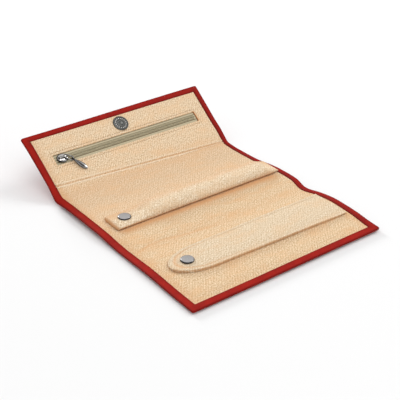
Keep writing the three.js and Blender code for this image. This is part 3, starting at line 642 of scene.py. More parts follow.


# The back panel and the pocket panel on the flap take a copy of the suede painted lighter, where the lamps
# light them less
LIGHTER_PAINTED_SUEDE = suede("suede_painted_lighter", (230, 205, 171), (178, 143, 103), (250, 235, 212), (229, 190, 147))
SUEDE = suede("suede", (220, 192, 155), (170, 132, 90), (242, 223, 195), (217, 172, 125))
PALE_SUEDE = suede("suede_pale", (218, 198, 168), (178, 148, 112), (240, 227, 208), (217, 184, 145))
BAR_TONES = [(224, 202, 171), (180, 150, 114), (248, 236, 217), (221, 187, 147)]
BAR_SUEDE = suede("suede_bar", *BAR_TONES, coordinates="Object", scale=10.0)
LEATHER = red_leather()
TAPE = zip_cloth()
NYLON = nylon()
COTTON = cotton()
THREAD = thread("sand_thread", (222, 198, 166), (202, 174, 138))
DARK_THREAD = thread("zip_thread", (192, 158, 120), (158, 124, 88))
NICKEL = metal("nickel", (200, 197, 194), (172, 169, 167), (0.14, 0.32))
GUNMETAL = metal("dark_steel", (94, 95, 93), (66, 67, 66), (0.3, 0.5))
# The slider is painted near black with a painted highlight on the faces that look up, standing in for its
# reflections
PAINTED_REFLECTION_NICKEL = metal("nickel_with_painted_reflection", (40, 39, 38), (30, 29, 29), (0.05, 0.14), (206, 203, 200))
# Painted dark at the caps' edge as shade, lighter on their face
CAP_NICKEL = metal("cap_nickel", (62, 60, 62), (46, 45, 47), (0.16, 0.3), (204, 201, 200))
FERRITE = metal("ferrite", (60, 60, 62), (44, 44, 46), (0.5, 0.7))


# Hide: one red leather skin whose edges turn over onto the lining as a border

EDGE_STEPS = [0, 0.06, 0.22, 0.5, 0.8, 1.2, 2.0, 3.2, 4.6, 5.8, 6.7, 7.05, BORDER]
SIDE_STEPS = EDGE_STEPS + [BORDER + 0.02, 9, 12, 16, 22]
END_REACH = SIDE_STEPS[-1]
MIDDLE_COLUMNS = 22
HIDE_PITCH = 2.0
BORDER_CROWN = 0.18
BORDER_LIP = 0.3
LIP_WIDTH = 0.5
OUTER_SHADE_WIDTH = 1.6
INNER_SHADE = 0.45
RIGHT_SHADE = 0.25

# The border's inner edge: stretches before it over which the painted shade deepens, and its ripples as
# (depth, length, phase)
INNER_SHADE_STEPS = [(4.2, 0.6), (0.9, 0.0)]
RIPPLES = [(0.12, 7.0, 0.0), (0.1, 3.1, 1.0)]


def border_offset(step, width):
    """Distance from the edge for a step given on the standard border."""
    return np.where(step <= BORDER, step * width / BORDER, step - BORDER + width)


def hide_grid(low, high):
    """Places (x, s) of a hide piece's grid, and how far they lie from a free edge."""
    steps = np.array(SIDE_STEPS)
    free_low = low == FRONT_EDGE
    free_high = high == FLAP_EDGE
    low_steps = steps[:len(steps) * free_low]
    high_steps = steps[::-1][:len(steps) * free_high]
    middle = steps_between(low + END_REACH * free_low, high - END_REACH * free_high, HIDE_PITCH)
    middle = middle[free_low:len(middle) - free_high]
    end = np.concatenate([low_steps, np.full(len(middle), END_REACH), high_steps])[:, None]
    side = np.concatenate([steps, np.full(MIDDLE_COLUMNS, END_REACH), steps[::-1]])
    share = np.pad(np.linspace(0, 1, MIDDLE_COLUMNS + 2), len(steps) - 1, mode="edge")
    from_edge = np.minimum(side, end)

    near_side, near_end = [np.clip(1 - gap / CORNER_RADIUS, 0, 1) for gap in (side, end)]
    corner = near_side * near_end > 0
    side = np.where(corner, CORNER_RADIUS * (1 - near_side * np.sqrt(1 - near_end ** 2 / 2)), side)
    end = np.where(corner, CORNER_RADIUS * (1 - near_end * np.sqrt(1 - near_side ** 2 / 2)), end)

    row = np.arange(len(end))[:, None]
    s = np.pad(middle, (len(low_steps), len(high_steps)))[:, None]
    s = np.where(row < len(low_steps), low + border_offset(end, BORDER), s)
    s = np.where(row >= len(low_steps) + len(middle), high - border_offset(end, FLAP_BORDER), s)
    ripple = sum(depth * np.sin(s / length + phase) for depth, length, phase in RIPPLES)
    left = left_edge(s) + border_offset(side, left_border(s) + ripple)
    right = right_edge(s) - border_offset(side, right_border(s) - ripple)
    inner_left = left_edge(s) + border_offset(END_REACH, left_border(s))
    inner_right = right_edge(s) - border_offset(END_REACH, right_border(s))
    x = np.where(share == 0, left, np.where(share == 1, right, mix(inner_left, inner_right, share)))
    return x, s, from_edge


def hide(name, low, high, *nodes):
    x, s, from_edge = hide_grid(low, high)
    on_flap = ease(s, SEAM_TOP, FLAP_CREASE)
    droop = left_droop(s) * ease(-x, 0, HALF_WIDTH) * (1 - np.clip(from_edge / BORDER, 0, 1))
    top = border_top(x, s) - droop
    drop = rounded(from_edge, EDGE_THICKNESS)
    radius = EDGE_THICKNESS / 2
    crown = BORDER_CROWN * np.sin(np.pi * np.clip((from_edge - radius) / (BORDER - radius), 0, 1))
    lip = BORDER_LIP * ease(from_edge, BORDER - LIP_WIDTH, BORDER)
    inner = mix(lining_top(x, s) - HIDE_DROP, FLAP_HIDE, on_flap)
    upper = np.where(from_edge <= BORDER, top + crown - drop - lip, inner)
    taper = mix(END_REACH, BORDER - 1, on_flap)
    under = np.maximum(top - EDGE_THICKNESS, 0) * fade(from_edge, 0, taper)
    lower = np.minimum(under + drop, upper)
    # Painted shade: darkest at the rounded outer edge, deepening towards the inner edge, and over the right
    # border, which slopes away from the light
    inner_shade = sum(ease(from_edge, BORDER - far, BORDER - near) for far, near in INNER_SHADE_STEPS)
    right_shade = RIGHT_SHADE * ease(x, HALF_WIDTH - 2 * BORDER, HALF_WIDTH - BORDER)
    edge = np.maximum(1 - from_edge / OUTER_SHADE_WIDTH, INNER_SHADE * inner_shade) + right_shade
    edge = np.clip(edge, 0, 1) * (from_edge <= BORDER)
    sheet = cloth_piece(name, place(x, s, upper), place(x, s, lower), (x, s), LEATHER, edge=edge)
    return dress(sheet, nodes=nodes)


hide_top = hide("hide_top", SEAM_BACK, SEAM_TOP, "back_cover", "back_board", "top_spine_cover")
hide_flap = hide("hide_flap", SEAM_TOP, FLAP_EDGE, "flap_cover")
hide_bottom = hide("hide_bottom", SEAM_FRONT, SEAM_BACK, "front_spine_cover")
hide_front = hide("hide_front", FRONT_EDGE, SEAM_FRONT, "front_cover", "front_board")


# Lining, with painted shade in front of the bar, on the folds and beside the borders

LINING_SHARES = [0, 0.015, 0.05, 0.12, 0.25, 0.45, 0.7]
LINING_MIDDLE = np.arange(-82.0, 82.1, 2.0)
LINING_PITCH = 1.6
BAR_SHADE = 0.6
BAR_SHADE_COMES = (BAR_LEFT - 4.0, BAR_LEFT + 8.0)
BAR_SHADE_GOES = (BAR_RIGHT - 11.4, BAR_RIGHT - 1.4)
BAR_SHADE_AHEAD = 2.05
BAR_SHADE_HALF = 4.5
BACK_SHADE = 0.12
BACK_SHADE_COMES = (-14.0, 10.0)
BACK_SHADE_GOES = (55.0, 84.0)
FRONT_SHADE = 0.08
FRONT_SHADE_S = -53.0
FRONT_SHADE_HALF = 5.0
CREASE_SHADE = 0.3
FOLD_SHADE = 0.1
SIDE_SHADE = 0.24
SIDE_SHADE_WIDTH = 9.0


def lining_grid(rows):
    s = np.array(rows)[:, None]
    left = left_edge(s) + left_border(s) + SIDE_CLEARANCE
    right = right_edge(s) - right_border(s) - SIDE_CLEARANCE
    columns = [mix(left, LINING_MIDDLE[0], share) for share in LINING_SHARES]
    columns += [np.full_like(s, x) for x in LINING_MIDDLE]
    columns += [mix(right, LINING_MIDDLE[-1], share) for share in reversed(LINING_SHARES)]
    x = np.concatenate(columns, 1)
    return x, np.broadcast_to(s, x.shape)


def lining_shade(x, s):
    """Painted shade of the lining: in front of the bar, on the folds, on the crease, over the back panel and
    beside the borders.
    """
    along_bar = ease(x, *BAR_SHADE_COMES) * fade(x, *BAR_SHADE_GOES)
    shade = BAR_SHADE * along_bar * hump(s, BAR_CENTRE - BAR_HALF - BAR_SHADE_AHEAD, BAR_SHADE_HALF)
    shade = shade + FRONT_SHADE * hump(s, FRONT_SHADE_S, FRONT_SHADE_HALF)
    shade = shade + BACK_SHADE * ease(s, *BACK_SHADE_COMES) * fade(s, *BACK_SHADE_GOES)
    shade = shade + CREASE_SHADE * front_crease(x, s) + FOLD_SHADE * hump(s, FOLD_Y, FOLD_RADIUS)
    from_side = np.minimum(x - x[:, :1], np.where(s < SEAM_FRONT, x[:, -1:] - x, HALF_WIDTH))
    return shade + SIDE_SHADE * fade(from_side, 0, SIDE_SHADE_WIDTH)


def lining(name, rows, mat, nodes, keep=None, lips=0.0, shade=0.0):
    x, s = lining_grid(rows)
    top = lining_top(x, s) + lips
    edge = lining_shade(x, s) + shade
    sheet = cloth_piece(name, place(x, s, top), place(x, s, top - LINING), (x, s), mat, keep, edge)
    return dress(sheet, nodes=nodes)


# Pocket panel: a rim round the zip's window, pressed down where it is stitched, with painted shade round the
# window and in the seam's groove, and a painted highlight on the seam's ridges
RIM_HEIGHT = 0.3
RIM_AT = 0.7
RIM_HALF = 0.7
RIM_REACH = 3.0
PRESS_HALF = 0.6
EDGE_DIP = 0.25
EDGE_DIP_HALF = 0.35
RIM_SHADE = 0.14
RIGHT_END_SHADE = 1.5
RIM_SHADE_HALF = 0.4
GROOVE_SHADE = 0.3
GROOVE_SHADE_HALF = 0.6
RIDGE_LIGHT = 0.5
SEAM_REACH = 4.0
SEAM_PITCH = 0.6
PANEL_PITCH = 2.0
RIM_PITCH = 0.5
WINDOW_PITCH = 1.8
WINDOW_LOW = ZIP_S - ZIP_HALF
WINDOW_HIGH = ZIP_S + ZIP_HALF


def from_window(x, s):
    """Distance outside the zip's window, negative inside it."""
    return np.maximum.reduce([ZIP_LEFT - x, x - ZIP_RIGHT, np.abs(s - ZIP_S) - ZIP_HALF])


def pocket_panel():
    rows = [SEAM_TOP]
    for end, pitch in (
        (FLAP_CREASE + SEAM_REACH, SEAM_PITCH),
        (WINDOW_LOW - RIM_REACH, PANEL_PITCH),
        (WINDOW_LOW, RIM_PITCH),
        (WINDOW_HIGH, WINDOW_PITCH),
        (WINDOW_HIGH + RIM_REACH, RIM_PITCH),
        (FLAP_EDGE - FLAP_BORDER - EDGE_CLEARANCE, PANEL_PITCH),
    ):
        rows += steps_between(rows[-1], end, pitch)[1:]
    x, s = lining_grid(rows)
    outside = from_window(x, s)
    at_edge = np.maximum(outside, 0)
    lips = RIM_HEIGHT * (hump(outside, RIM_AT, RIM_HALF) - hump(outside, STITCH_MARGIN, PRESS_HALF))
    lips = lips * ease(outside, -0.5, RIM_AT) - EDGE_DIP * hump(at_edge, 0, EDGE_DIP_HALF)
    past = past_seam(x, s)
    # Painted shade in the seam's groove and round the window, darkest at its right end; painted highlight on
    # the seam's ridges
    shade = GROOVE_SHADE * hump(past, GROOVE[0], GROOVE_SHADE_HALF) - RIDGE_LIGHT * seam_ridges(past)
    rim_shade = np.where(x >= ZIP_RIGHT, RIGHT_END_SHADE, RIM_SHADE)
    shade = shade + rim_shade * hump(at_edge, 0, RIM_SHADE_HALF)
    keep = from_window((x[:-1, :-1] + x[1:, 1:]) / 2, (s[:-1, :-1] + s[1:, 1:]) / 2) >= 0
    return lining("pocket_front", rows, LIGHTER_PAINTED_SUEDE, ["pocket_panel"], keep, lips, shade)


front_rows = steps_between(FRONT_EDGE + BORDER + EDGE_CLEARANCE, SEAM_FRONT, LINING_PITCH)
bottom_rows = steps_between(SEAM_FRONT, SEAM_BACK, LINING_PITCH)
back_rows = steps_between(SEAM_BACK, SEAM_TOP, LINING_PITCH)
lining_front = lining("lining_front", front_rows, SUEDE, ["front_lining"])
lining_bottom = lining("lining_bottom", bottom_rows, SUEDE, ["front_spine_lining"])
lining_back = lining("lining_top", back_rows, LIGHTER_PAINTED_SUEDE, ["back_lining", "top_spine_lining"])
pocket = pocket_panel()

# The sheets on both sides of each crease, with the crease's half length towards the child body; each sheet's
# placement is applied to its mesh
for sheets, parent, child, crease, reach in (
    ((hide_top, lining_back), "back_panel", "top_spine", TOP_CREASE, 5),
    ((hide_flap, pocket), "top_spine", "flap", FLAP_CREASE, 5),
    ((hide_bottom, lining_bottom), "back_panel", "front_spine", FRONT_CREASE, -4),
    ((hide_front, lining_front), "front_spine", "front_panel", PANEL_CREASE, -4),
):
    for sheet in sheets:
        [tuple(place(0, crease + step, 0)) for step in (-reach, reach)]
        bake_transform(sheet)


# Zip: pocket back, two tapes, teeth and the stitching round the window

POCKET_BACK_HALF = 90.0
POCKET_BACK_LOW = 2.0
POCKET_BACK_HIGH = 48.0
POCKET_BACK_TOP = 1.6
POCKET_BACK_THICKNESS = 0.4
TAPE_TAIL = 5.0
TAPE_HALF = 10.5
TAPE_TOP = 3.1
TAPE_THICKNESS = 0.35
TAPE_RISE = 0.55
TAPE_WAVE = 0.08
COIL_HALF = 2.6
COIL_MIDDLE = 4.05
TOOTH_PITCH = 1.15
TOOTH_OUT = 1.3
TOOTH = (1.1, 0.47, 0.45)
TOOTH_ALONG = (0.1, math.cos(FLAP_ANGLE), math.sin(FLAP_ANGLE))
TEETH_LEFT = ZIP_LEFT + 2.2
TEETH_RIGHT = ZIP_RIGHT - 2.0
ZIP_STITCH = (0.95, 0.3, 0.22)
ZIP_STITCH_PITCH = 2.6
ZIP_STITCH_SINK = 0.12


def pocket_back_cloth():
    x = np.linspace(-POCKET_BACK_HALF, POCKET_BACK_HALF, 40)
    x, d = np.meshgrid(x, np.linspace(POCKET_BACK_LOW, POCKET_BACK_HIGH, 12))
    upper = flap_place(x, d, POCKET_BACK_TOP)
    lower = flap_place(x, d, POCKET_BACK_TOP - POCKET_BACK_THICKNESS)
    return cloth_piece("pocket_back_cloth", upper, lower, (x, d), COTTON)


def tape(name, towards, beside_coil, under_rim):
    """Tape above (1) or below (-1) the coil, with painted shade beside the coil and under the window's rim.
    """
    across = np.concatenate([np.linspace(0.2, 6, 24), [8.0, TAPE_HALF]])[::towards]
    x, out = np.meshgrid(np.linspace(ZIP_LEFT - TAPE_TAIL, ZIP_RIGHT + TAPE_TAIL, 90), across)
    d = ZIP_Y + towards * out
    rise = TAPE_RISE * fade(out, COIL_HALF, ZIP_HALF)
    top = TAPE_TOP + rise + TAPE_WAVE * np.sin(x / 11 + towards) * ease(out, 2, 6)
    # Painted shade beside the coil and under the window's rim
    shade = beside_coil * hump(out, COIL_HALF + 0.1, 0.42) + under_rim * ease(out, ZIP_HALF - 1.1, ZIP_HALF)
    upper = flap_place(x, d, top)
    lower = flap_place(x, d, top - TAPE_THICKNESS)
    return cloth_piece(name, upper, lower, (x, d), TAPE, edge=shade)


def teeth(name, towards):
    """Half of the coil; the upper teeth stand half a pitch on."""
    x = np.arange(TEETH_LEFT, TEETH_RIGHT, TOOTH_PITCH) + (TOOTH_PITCH / 2 if towards > 0 else 0)
    centres = flap_place(x, ZIP_Y + towards * TOOTH_OUT, COIL_MIDDLE)
    return beads(name, centres, np.broadcast_to(TOOTH_ALONG, centres.shape), FLAP_UP, TOOTH, NYLON)


def zip_stitches():
    left = ZIP_LEFT - STITCH_MARGIN
    right = ZIP_RIGHT + STITCH_MARGIN
    half = ZIP_HALF + STITCH_MARGIN
    corners = [(left, -half), (right, -half), (right, half), (left, half), (left, -half)]
    share = np.linspace(0, 1, 60)[:-1]
    line = []
    for (x0, d0), (x1, d1) in zip(corners, corners[1:]):
        x = mix(x0, x1, share)
        d = ZIP_Y + mix(d0, d1, share)
        line.append(flap_place(x, d, lining_top(x, FLAP_CREASE + d) - ZIP_STITCH_SINK))
    centres, along = stitch_row(np.concatenate(line), ZIP_STITCH_PITCH * MM)
    return beads("zip_stitches", centres, along, FLAP_UP, ZIP_STITCH, DARK_THREAD)


pocket_back = dress(pocket_back_cloth(), "flap", ["pocket_back"])
for side, towards, beside_coil, under_rim in (("upper", 1, 0.8, 0.35), ("lower", -1, 0.95, 0.15)):
    strip = tape(f"tape_{side}", towards, beside_coil, under_rim)
    dress(strip, "flap", [f"zip_tape_{side}"])
    dress(teeth(f"teeth_{side}", towards), "flap", [f"zip_coil_{side}"])
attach(zip_stitches(), "flap")


# Padded ring bar: a flat tab with the press stud, a pad, and a flat tail that is sewn down

BAR_SEAT = 3.5
TAIL_SEAT = 4.5
TAIL_RAMP = (85.6, 92.5)
BAR_HEIGHT = 8.2
TAB_THICKNESS = 3.9
TAIL_THICKNESS = 1.5
PAD_LEFT = -58.0
PAD_RISE = 24.0
PAD_RIGHT = 83.4
PAD_FALL = 4.0
BAR_SEAM_SHARE = 0.3
BAR_END = 2.4
BAR_END_HEIGHT = 0.3
BAR_END_WIDTH = 0.94
BAR_SNAP = (-70.0, BAR_CENTRE)
BAR_GRAIN = 0.9
PAD_SWELL = 0.9
FOOT_SHADE_UP = (0.5, 2.2)
FOOT_SHADE_IN = (1.0, 2.5)
BAR_BACK_SHADE = 0.3
BAR_END_SHADE = 0.6

# Powers that shape the bar's section: its crown at the flat ends and on the pad, its base and its sides
CROWN_POWERS = (0.2, 0.55)
BASE_POWER = 0.35
SIDE_POWER = 0.6

# What the filling doesn't swell: this much at the bottom, at both ends and round the press stud
HELD_LOW = 1.4
HELD_LEFT = 4.0
HELD_RIGHT = 10.0
HELD_ROUND_SNAP = 7.0

# Press stud sockets: the hole in the cloth and the depth of the cup
SOCKET_HOLE = 3.5
SOCKET_TOP = 4.7


def bar_section(x):
    """Crowned section of the ring bar at x, rounded off at the left end."""
    full = ease(x, PAD_LEFT, PAD_LEFT + PAD_RISE) * fade(x, PAD_RIGHT - PAD_FALL, BAR_RIGHT)
    seat = mix(BAR_SEAT, TAIL_SEAT, ease(x, *TAIL_RAMP))
    height = mix(TAB_THICKNESS if x < 0 else TAIL_THICKNESS, BAR_HEIGHT, full)
    seam = seat + BAR_SEAM_SHARE * height
    c, s = np.cos(circle(44)), np.sin(circle(44))
    crown = np.abs(s) ** mix(*CROWN_POWERS, full)
    base = np.abs(s) ** BASE_POWER
    z = seam + np.where(s > 0, (seat + height - seam) * crown, (seat - seam) * base)
    from_end = max(0.0, 1 - (x - BAR_LEFT) / BAR_END)
    round_off = mix(BAR_END_HEIGHT, 1, math.sqrt(1 - from_end ** 2))
    across = BAR_HALF * boxy(c, SIDE_POWER) * mix(BAR_END_WIDTH, 1, round_off)
    return join(x, BAR_CENTRE + across, BAR_SEAT + (z - BAR_SEAT) * round_off)


def apply_modifiers(obj):
    bpy.context.view_layer.update()
    graph = bpy.context.evaluated_depsgraph_get()
    mesh = bpy.data.meshes.new_from_object(obj.evaluated_get(graph))
    obj.modifiers.clear()
    obj.data = mesh


def inflate(obj, held, cap, pressure=4.0, frames=20):
    """Blows a closed skin up by pressure; held points stay, and no point moves further than cap."""
    rest = points_of(obj.data)
    group = obj.vertex_groups.new(name="held")
    group.add(np.flatnonzero(held).tolist(), 1.0, "REPLACE")
    cloth = obj.modifiers.new("Inflate", "CLOTH")
    cloth.settings.use_pressure = True
    cloth.settings.uniform_pressure_force = pressure
    cloth.settings.quality = 6
    cloth.settings.mass = 0.2
    cloth.settings.vertex_group_mass = "held"
    cloth.settings.effector_weights.gravity = 0
    cloth.collision_settings.use_collision = False
    scene = bpy.context.scene
    for number in range(1, frames + 1):
        scene.frame_set(number)
    graph = bpy.context.evaluated_depsgraph_get()
    moved = points_of(obj.evaluated_get(graph).data) - rest
    length = np.linalg.norm(moved, axis=1, keepdims=True)
    moved = moved * np.minimum(1, cap / np.maximum(length, 1e-9))
    obj.modifiers.remove(cloth)
    obj.vertex_groups.remove(group)
    scene.frame_set(1)
    obj.data.vertices.foreach_set("co", (rest + moved).ravel())
    obj.data.update()


def from_bar_snap(skin):
    return np.hypot(skin[:, 0] - BAR_SNAP[0], skin[:, 1] - BAR_SNAP[1])


def ring_bar():
    places = list(np.linspace(BAR_LEFT, BAR_LEFT + BAR_END, 6))
    places += list(np.linspace(BAR_LEFT + BAR_END, BAR_RIGHT, 120)[1:])
    obj = new_object("ring_bar", loft("ring_bar", [bar_section(x) * MM for x in places]), BAR_SUEDE)
    even = obj.modifiers.new("Remesh", "REMESH")
    even.mode = "VOXEL"
    even.voxel_size = BAR_GRAIN * MM
    apply_modifiers(obj)
    skin = points_of(obj.data) / MM
    low = skin[:, 2] < BAR_SEAT + HELD_LOW
    ends = (skin[:, 0] < BAR_LEFT + HELD_LEFT) | (skin[:, 0] > BAR_RIGHT - HELD_RIGHT)
    inflate(obj, low | ends | (from_bar_snap(skin) < HELD_ROUND_SNAP), PAD_SWELL * MM)
    soft = obj.modifiers.new("Smooth", "SMOOTH")
    soft.factor = 0.5
    soft.iterations = 3
    apply_modifiers(obj)
    skin = points_of(obj.data) / MM
    in_socket = (from_bar_snap(skin) < SOCKET_HOLE) & (skin[:, 2] < SOCKET_TOP)
    skin[:, 2] = np.where(in_socket, SOCKET_TOP, skin[:, 2])
    obj.data.vertices.foreach_set("co", (skin * MM).ravel())
    # Painted shade along the bar's foot at its front, over its back half and on its left end
    from_front = skin[:, 1] - BAR_CENTRE + BAR_HALF
    shade = fade(skin[:, 2] - BAR_SEAT, *FOOT_SHADE_UP) * fade(from_front, *FOOT_SHADE_IN)
    shade = shade + BAR_BACK_SHADE * ease(from_front, BAR_HALF - 2, 2 * BAR_HALF - 2)
    shade = np.maximum(shade, BAR_END_SHADE * fade(skin[:, 0], BAR_LEFT, BAR_LEFT + BAR_END))
    paint(obj.data, shade)
    smooth(obj.data, 60)
    return obj


bar = dress(ring_bar(), nodes=("ring_bar_cover", "ring_bar_core", "ring_bar_anchor"))
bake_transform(bar)


# Tongue strap: two layers sewn together round their edge

STRAP_TIP = -82.6
STRAP_SHOULDER = -48.5
STRAP_ROOT = 92.3
STRAP_CENTRE = -91.9
STRAP_HALF_ROOT = 20.5
STRAP_HALF_SHOULDER = 18.0
TIP_LENGTH = STRAP_SHOULDER - STRAP_TIP
STRAP_SEAT = 3.4
STRAP_LAYER = 1.3
STRAP_STEP = 6.5
STRAP_SNAP = (-65.6, STRAP_CENTRE)
STRAP_PUFF = 0.5
PUFF_FROM_EDGE = (2.5, 11.0)
PUFF_FROM_SNAP = (5.0, 24.0)
STRAP_WAVE = 0.12
WAVE_FROM_EDGE = (1.0, 6.0)
ROOT_DROP = 0.5
ROOT_RAMP = (40.0, 92.0)
SEWN_GROOVE = 0.28
SEWN_HALF = 0.7
SEWN_SHADE = 0.4
SEWN_SHADE_REACH = 90.0
UPPER_RIM_SHADE = 0.35
LOWER_RIM_SHADE = 0.75
STITCH_INSET = 3.2
STRAP_STITCH = (1.0, 0.26, 0.2)
STRAP_STITCH_PITCH = 2.8
STRAP_STITCH_SINK = 0.13


def strap_half(x):
    share = np.clip((x - STRAP_SHOULDER) / (STRAP_ROOT - STRAP_SHOULDER), 0, 1)
    return mix(STRAP_HALF_SHOULDER, STRAP_HALF_ROOT, share)


def strap_grid(root):
    """Places on a layer that ends at root, and their distance from its edge."""
    across = np.pi / 2 * np.linspace(-1, 1, 57)[:, None]
    along = np.concatenate([np.linspace(0, 0.1, 22), np.linspace(0.1, 1, 60)[1:]])
    x = mix(STRAP_SHOULDER - TIP_LENGTH * np.cos(across), root, along[None, :])
    y = STRAP_CENTRE + strap_half(x) * np.sin(across)
    oval_share = np.hypot(np.minimum(x - STRAP_SHOULDER, 0) / TIP_LENGTH, np.sin(across))
    return x, y, np.maximum((1 - oval_share) * STRAP_HALF_SHOULDER, 0)


def root_drop(x):
    """The strap comes down at the root, where its lower layer ends."""
    return ROOT_DROP * ease(x, *ROOT_RAMP)


def strap_layer(name, root, bottom, puff, groove, rim_shade, hole):
    x, y, edge = strap_grid(root)
    drop = rounded(edge, STRAP_LAYER)
    from_snap = np.hypot(x - STRAP_SNAP[0], y - STRAP_SNAP[1])
    swell = puff * ease(edge, *PUFF_FROM_EDGE) * ease(from_snap, *PUFF_FROM_SNAP)
    waves = STRAP_WAVE * np.sin(x / 7.5 + 0.5 * np.sin(y / 6)) * ease(edge, *WAVE_FROM_EDGE)
    base = bottom - root_drop(x) + waves
    upper = base + STRAP_LAYER - drop + swell - groove * hump(edge, STITCH_INSET, SEWN_HALF)
    lower = np.minimum(base + drop + 0.6 * swell, upper)
    # Painted shade along the layer's rim and on the sewn groove near the tip
    near_tip = fade(x, STRAP_TIP, STRAP_TIP + SEWN_SHADE_REACH)
    shade = rim_shade * fade(edge, 0.0, 0.6) + SEWN_SHADE * near_tip * hump(edge, STITCH_INSET, 0.8)
    keep = (from_snap[:-1, :-1] + from_snap[1:, 1:]) / 2 > hole
    return cloth_piece(name, join(x, y, upper) * MM, join(x, y, lower) * MM, (x, y), PALE_SUEDE, keep, shade)


def strap_stitches():
    straight = np.linspace(STRAP_ROOT - 4, STRAP_SHOULDER, 120)
    turn = np.linspace(0, np.pi / 2, 60)[1:]
    x = np.concatenate([straight, STRAP_SHOULDER - (TIP_LENGTH - STITCH_INSET) * np.sin(turn)])
    out_of_tip = (STRAP_HALF_SHOULDER - STITCH_INSET) * np.cos(turn)
    out = np.concatenate([strap_half(straight) - STITCH_INSET, out_of_tip])
    x = np.concatenate([x, x[-2::-1]])
    y = STRAP_CENTRE + np.concatenate([-out, out[-2::-1]])
    z = STRAP_SEAT + 2 * STRAP_LAYER - STRAP_STITCH_SINK - root_drop(x)
    centres, along = stitch_row(join(x, y, z) * MM, STRAP_STITCH_PITCH * MM)
    return beads("strap_stitches", centres, along, (0, 0, 1), STRAP_STITCH, THREAD)


strap_lower = strap_layer(
    "strap_lower", STRAP_ROOT - STRAP_STEP, STRAP_SEAT, 0.0, 0.0, LOWER_RIM_SHADE, SOCKET_HOLE
)
strap_upper = strap_layer(
    "strap_top", STRAP_ROOT, STRAP_SEAT + STRAP_LAYER, STRAP_PUFF, SEWN_GROOVE, UPPER_RIM_SHADE, 0.0
)
strap_seam = strap_stitches()
dress(strap_lower, nodes=("strap_under_layer", "strap_anchor"))
dress(strap_upper, nodes=("strap_upper_layer",))
for layer in (strap_lower, strap_upper):
    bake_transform(layer)
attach(strap_seam, "strap")


# Turned metal parts from (radius, height) profiles; the caps are painted dark at the edge as shade and
# lighter on the face

CAP_FACE = 5.3
BAR_CAP_SEAT = 7.1
STRAP_CAP_SEAT = 6.2
CAP_PROFILE = [
    (1.6, -1.4), (1.7, -0.2), (5.3, -0.2), (5.7, 0.0), (5.9, 0.3), (5.95, 0.65), (5.85, 1.0), (5.6, 1.3),
    (5.2, 1.5), (4.6, 1.6), (3.6, 1.68), (2.4, 1.74), (1.2, 1.78), (0.02, 1.8),
]
SOCKET_PROFILE = [
    (0.02, 4.66), (2.3, 4.66), (2.4, 3.55), (2.7, 3.38), (3.4, 3.3), (4.2, 3.32), (4.7, 3.42),
    (4.85, 3.7), (4.8, 4.7), (0.02, 4.74),
]


def oval(half_x, half_y, power, steps):
    """Rounded outline; a power below 1 makes it boxier."""
    turn = circle(steps)
    return half_x * boxy(np.cos(turn), power), half_y * boxy(np.sin(turn), power)


def lathe(name, profile, centre, mat, tilt=0.0):
    """Turned piece that stands on centre."""
    mesh = loft(name, [join(*oval(radius, radius, 1, 64), height) * MM for radius, height in profile])
    across = np.hypot(*points_of(mesh).T[:2]) / MM
    # Painted lighter inside CAP_FACE and dark outside it; only the caps' metal shows it, as painted shade at
    # their edge
    paint(mesh, fade(across, CAP_FACE - 0.3, CAP_FACE + 0.3))
    mesh.transform(Matrix.Translation(Vector(centre)) @ Matrix.Rotation(tilt, 4, "X"))
    smooth(mesh, 35)
    return new_object(name, mesh, mat)


for name, node, body, profile, snap, seat, finish in (
    ("bar_snap_cap", "ring_bar_snap_cap", "ring_bar", CAP_PROFILE, BAR_SNAP, BAR_CAP_SEAT, CAP_NICKEL),
    ("strap_cap", "strap_snap_cap", "strap", CAP_PROFILE, STRAP_SNAP, STRAP_CAP_SEAT, CAP_NICKEL),
    ("bar_socket", "ring_bar_snap_socket", "ring_bar", SOCKET_PROFILE, BAR_SNAP, 0, NICKEL),
    ("strap_socket", "strap_snap_socket", "strap", SOCKET_PROFILE, STRAP_SNAP, 0, NICKEL),
):
    dress(lathe(name, profile, mm(*snap, seat), finish), body, [node])

# Magnetic closure: a dark disc with a raised rim, a ring of beads and a ring of grooves
MAGNET_X = -1.5
MAGNET_Y = 41.5
MAGNET_SEAT = 3.5
MAGNET_BEADS = 16
BEAD_CIRCLE = 5.25
BEAD_HEIGHT = 5.1
BEAD = (0.75, 0.55, 0.35)
MAGNET_PROFILE = [
    (7.2, 0.0), (7.7, 0.3), (7.8, 1.2), (7.7, 1.7), (7.4, 1.95), (7.0, 2.0), (6.7, 1.85), (6.5, 1.5),
    (4.4, 1.5), (4.15, 1.8), (3.7, 1.85), (3.5, 1.55), (2.5, 1.5), (2.3, 1.75), (1.9, 1.95), (0.9, 2.1),
    (0.02, 2.15),
]


def magnet_beads():
    x, y = oval(BEAD_CIRCLE, BEAD_CIRCLE, 1, MAGNET_BEADS)
    centres = flap_place(MAGNET_X + x, MAGNET_Y + y, BEAD_HEIGHT)
    outward = centres - flap_place(MAGNET_X, MAGNET_Y, BEAD_HEIGHT)
    return beads("magnet_beads", centres, outward, FLAP_UP, BEAD, NICKEL)


magnet_base = flap_place(MAGNET_X, MAGNET_Y, MAGNET_SEAT)
magnet_disc = lathe("magnet_disc", MAGNET_PROFILE, magnet_base, GUNMETAL, FLAP_ANGLE)
dress(magnet_disc, "flap", ["flap_magnet_case", "flap_magnet"])
dress(magnet_beads(), "flap")

# Striker on the underside of the front panel, where the magnet lands
STRIKER_PROFILE = [
    (6.9, 0.5), (7.0, 0.1), (6.8, -0.08), (5.4, -0.1), (5.2, 0.0), (4.6, 0.0), (4.4, -0.1), (0.02, -0.12),
]
striker_x, striker_y, _ = np.mean(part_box("front_striker"), axis=0)
striker_disc = lathe("striker_disc", STRIKER_PROFILE, (striker_x, striker_y, 0), GUNMETAL)
dress(striker_disc, "front_panel", ["front_striker"])


# Zip slider, whose arch holds the pull: a loop of wire, and a leaf that hangs in it by an eye

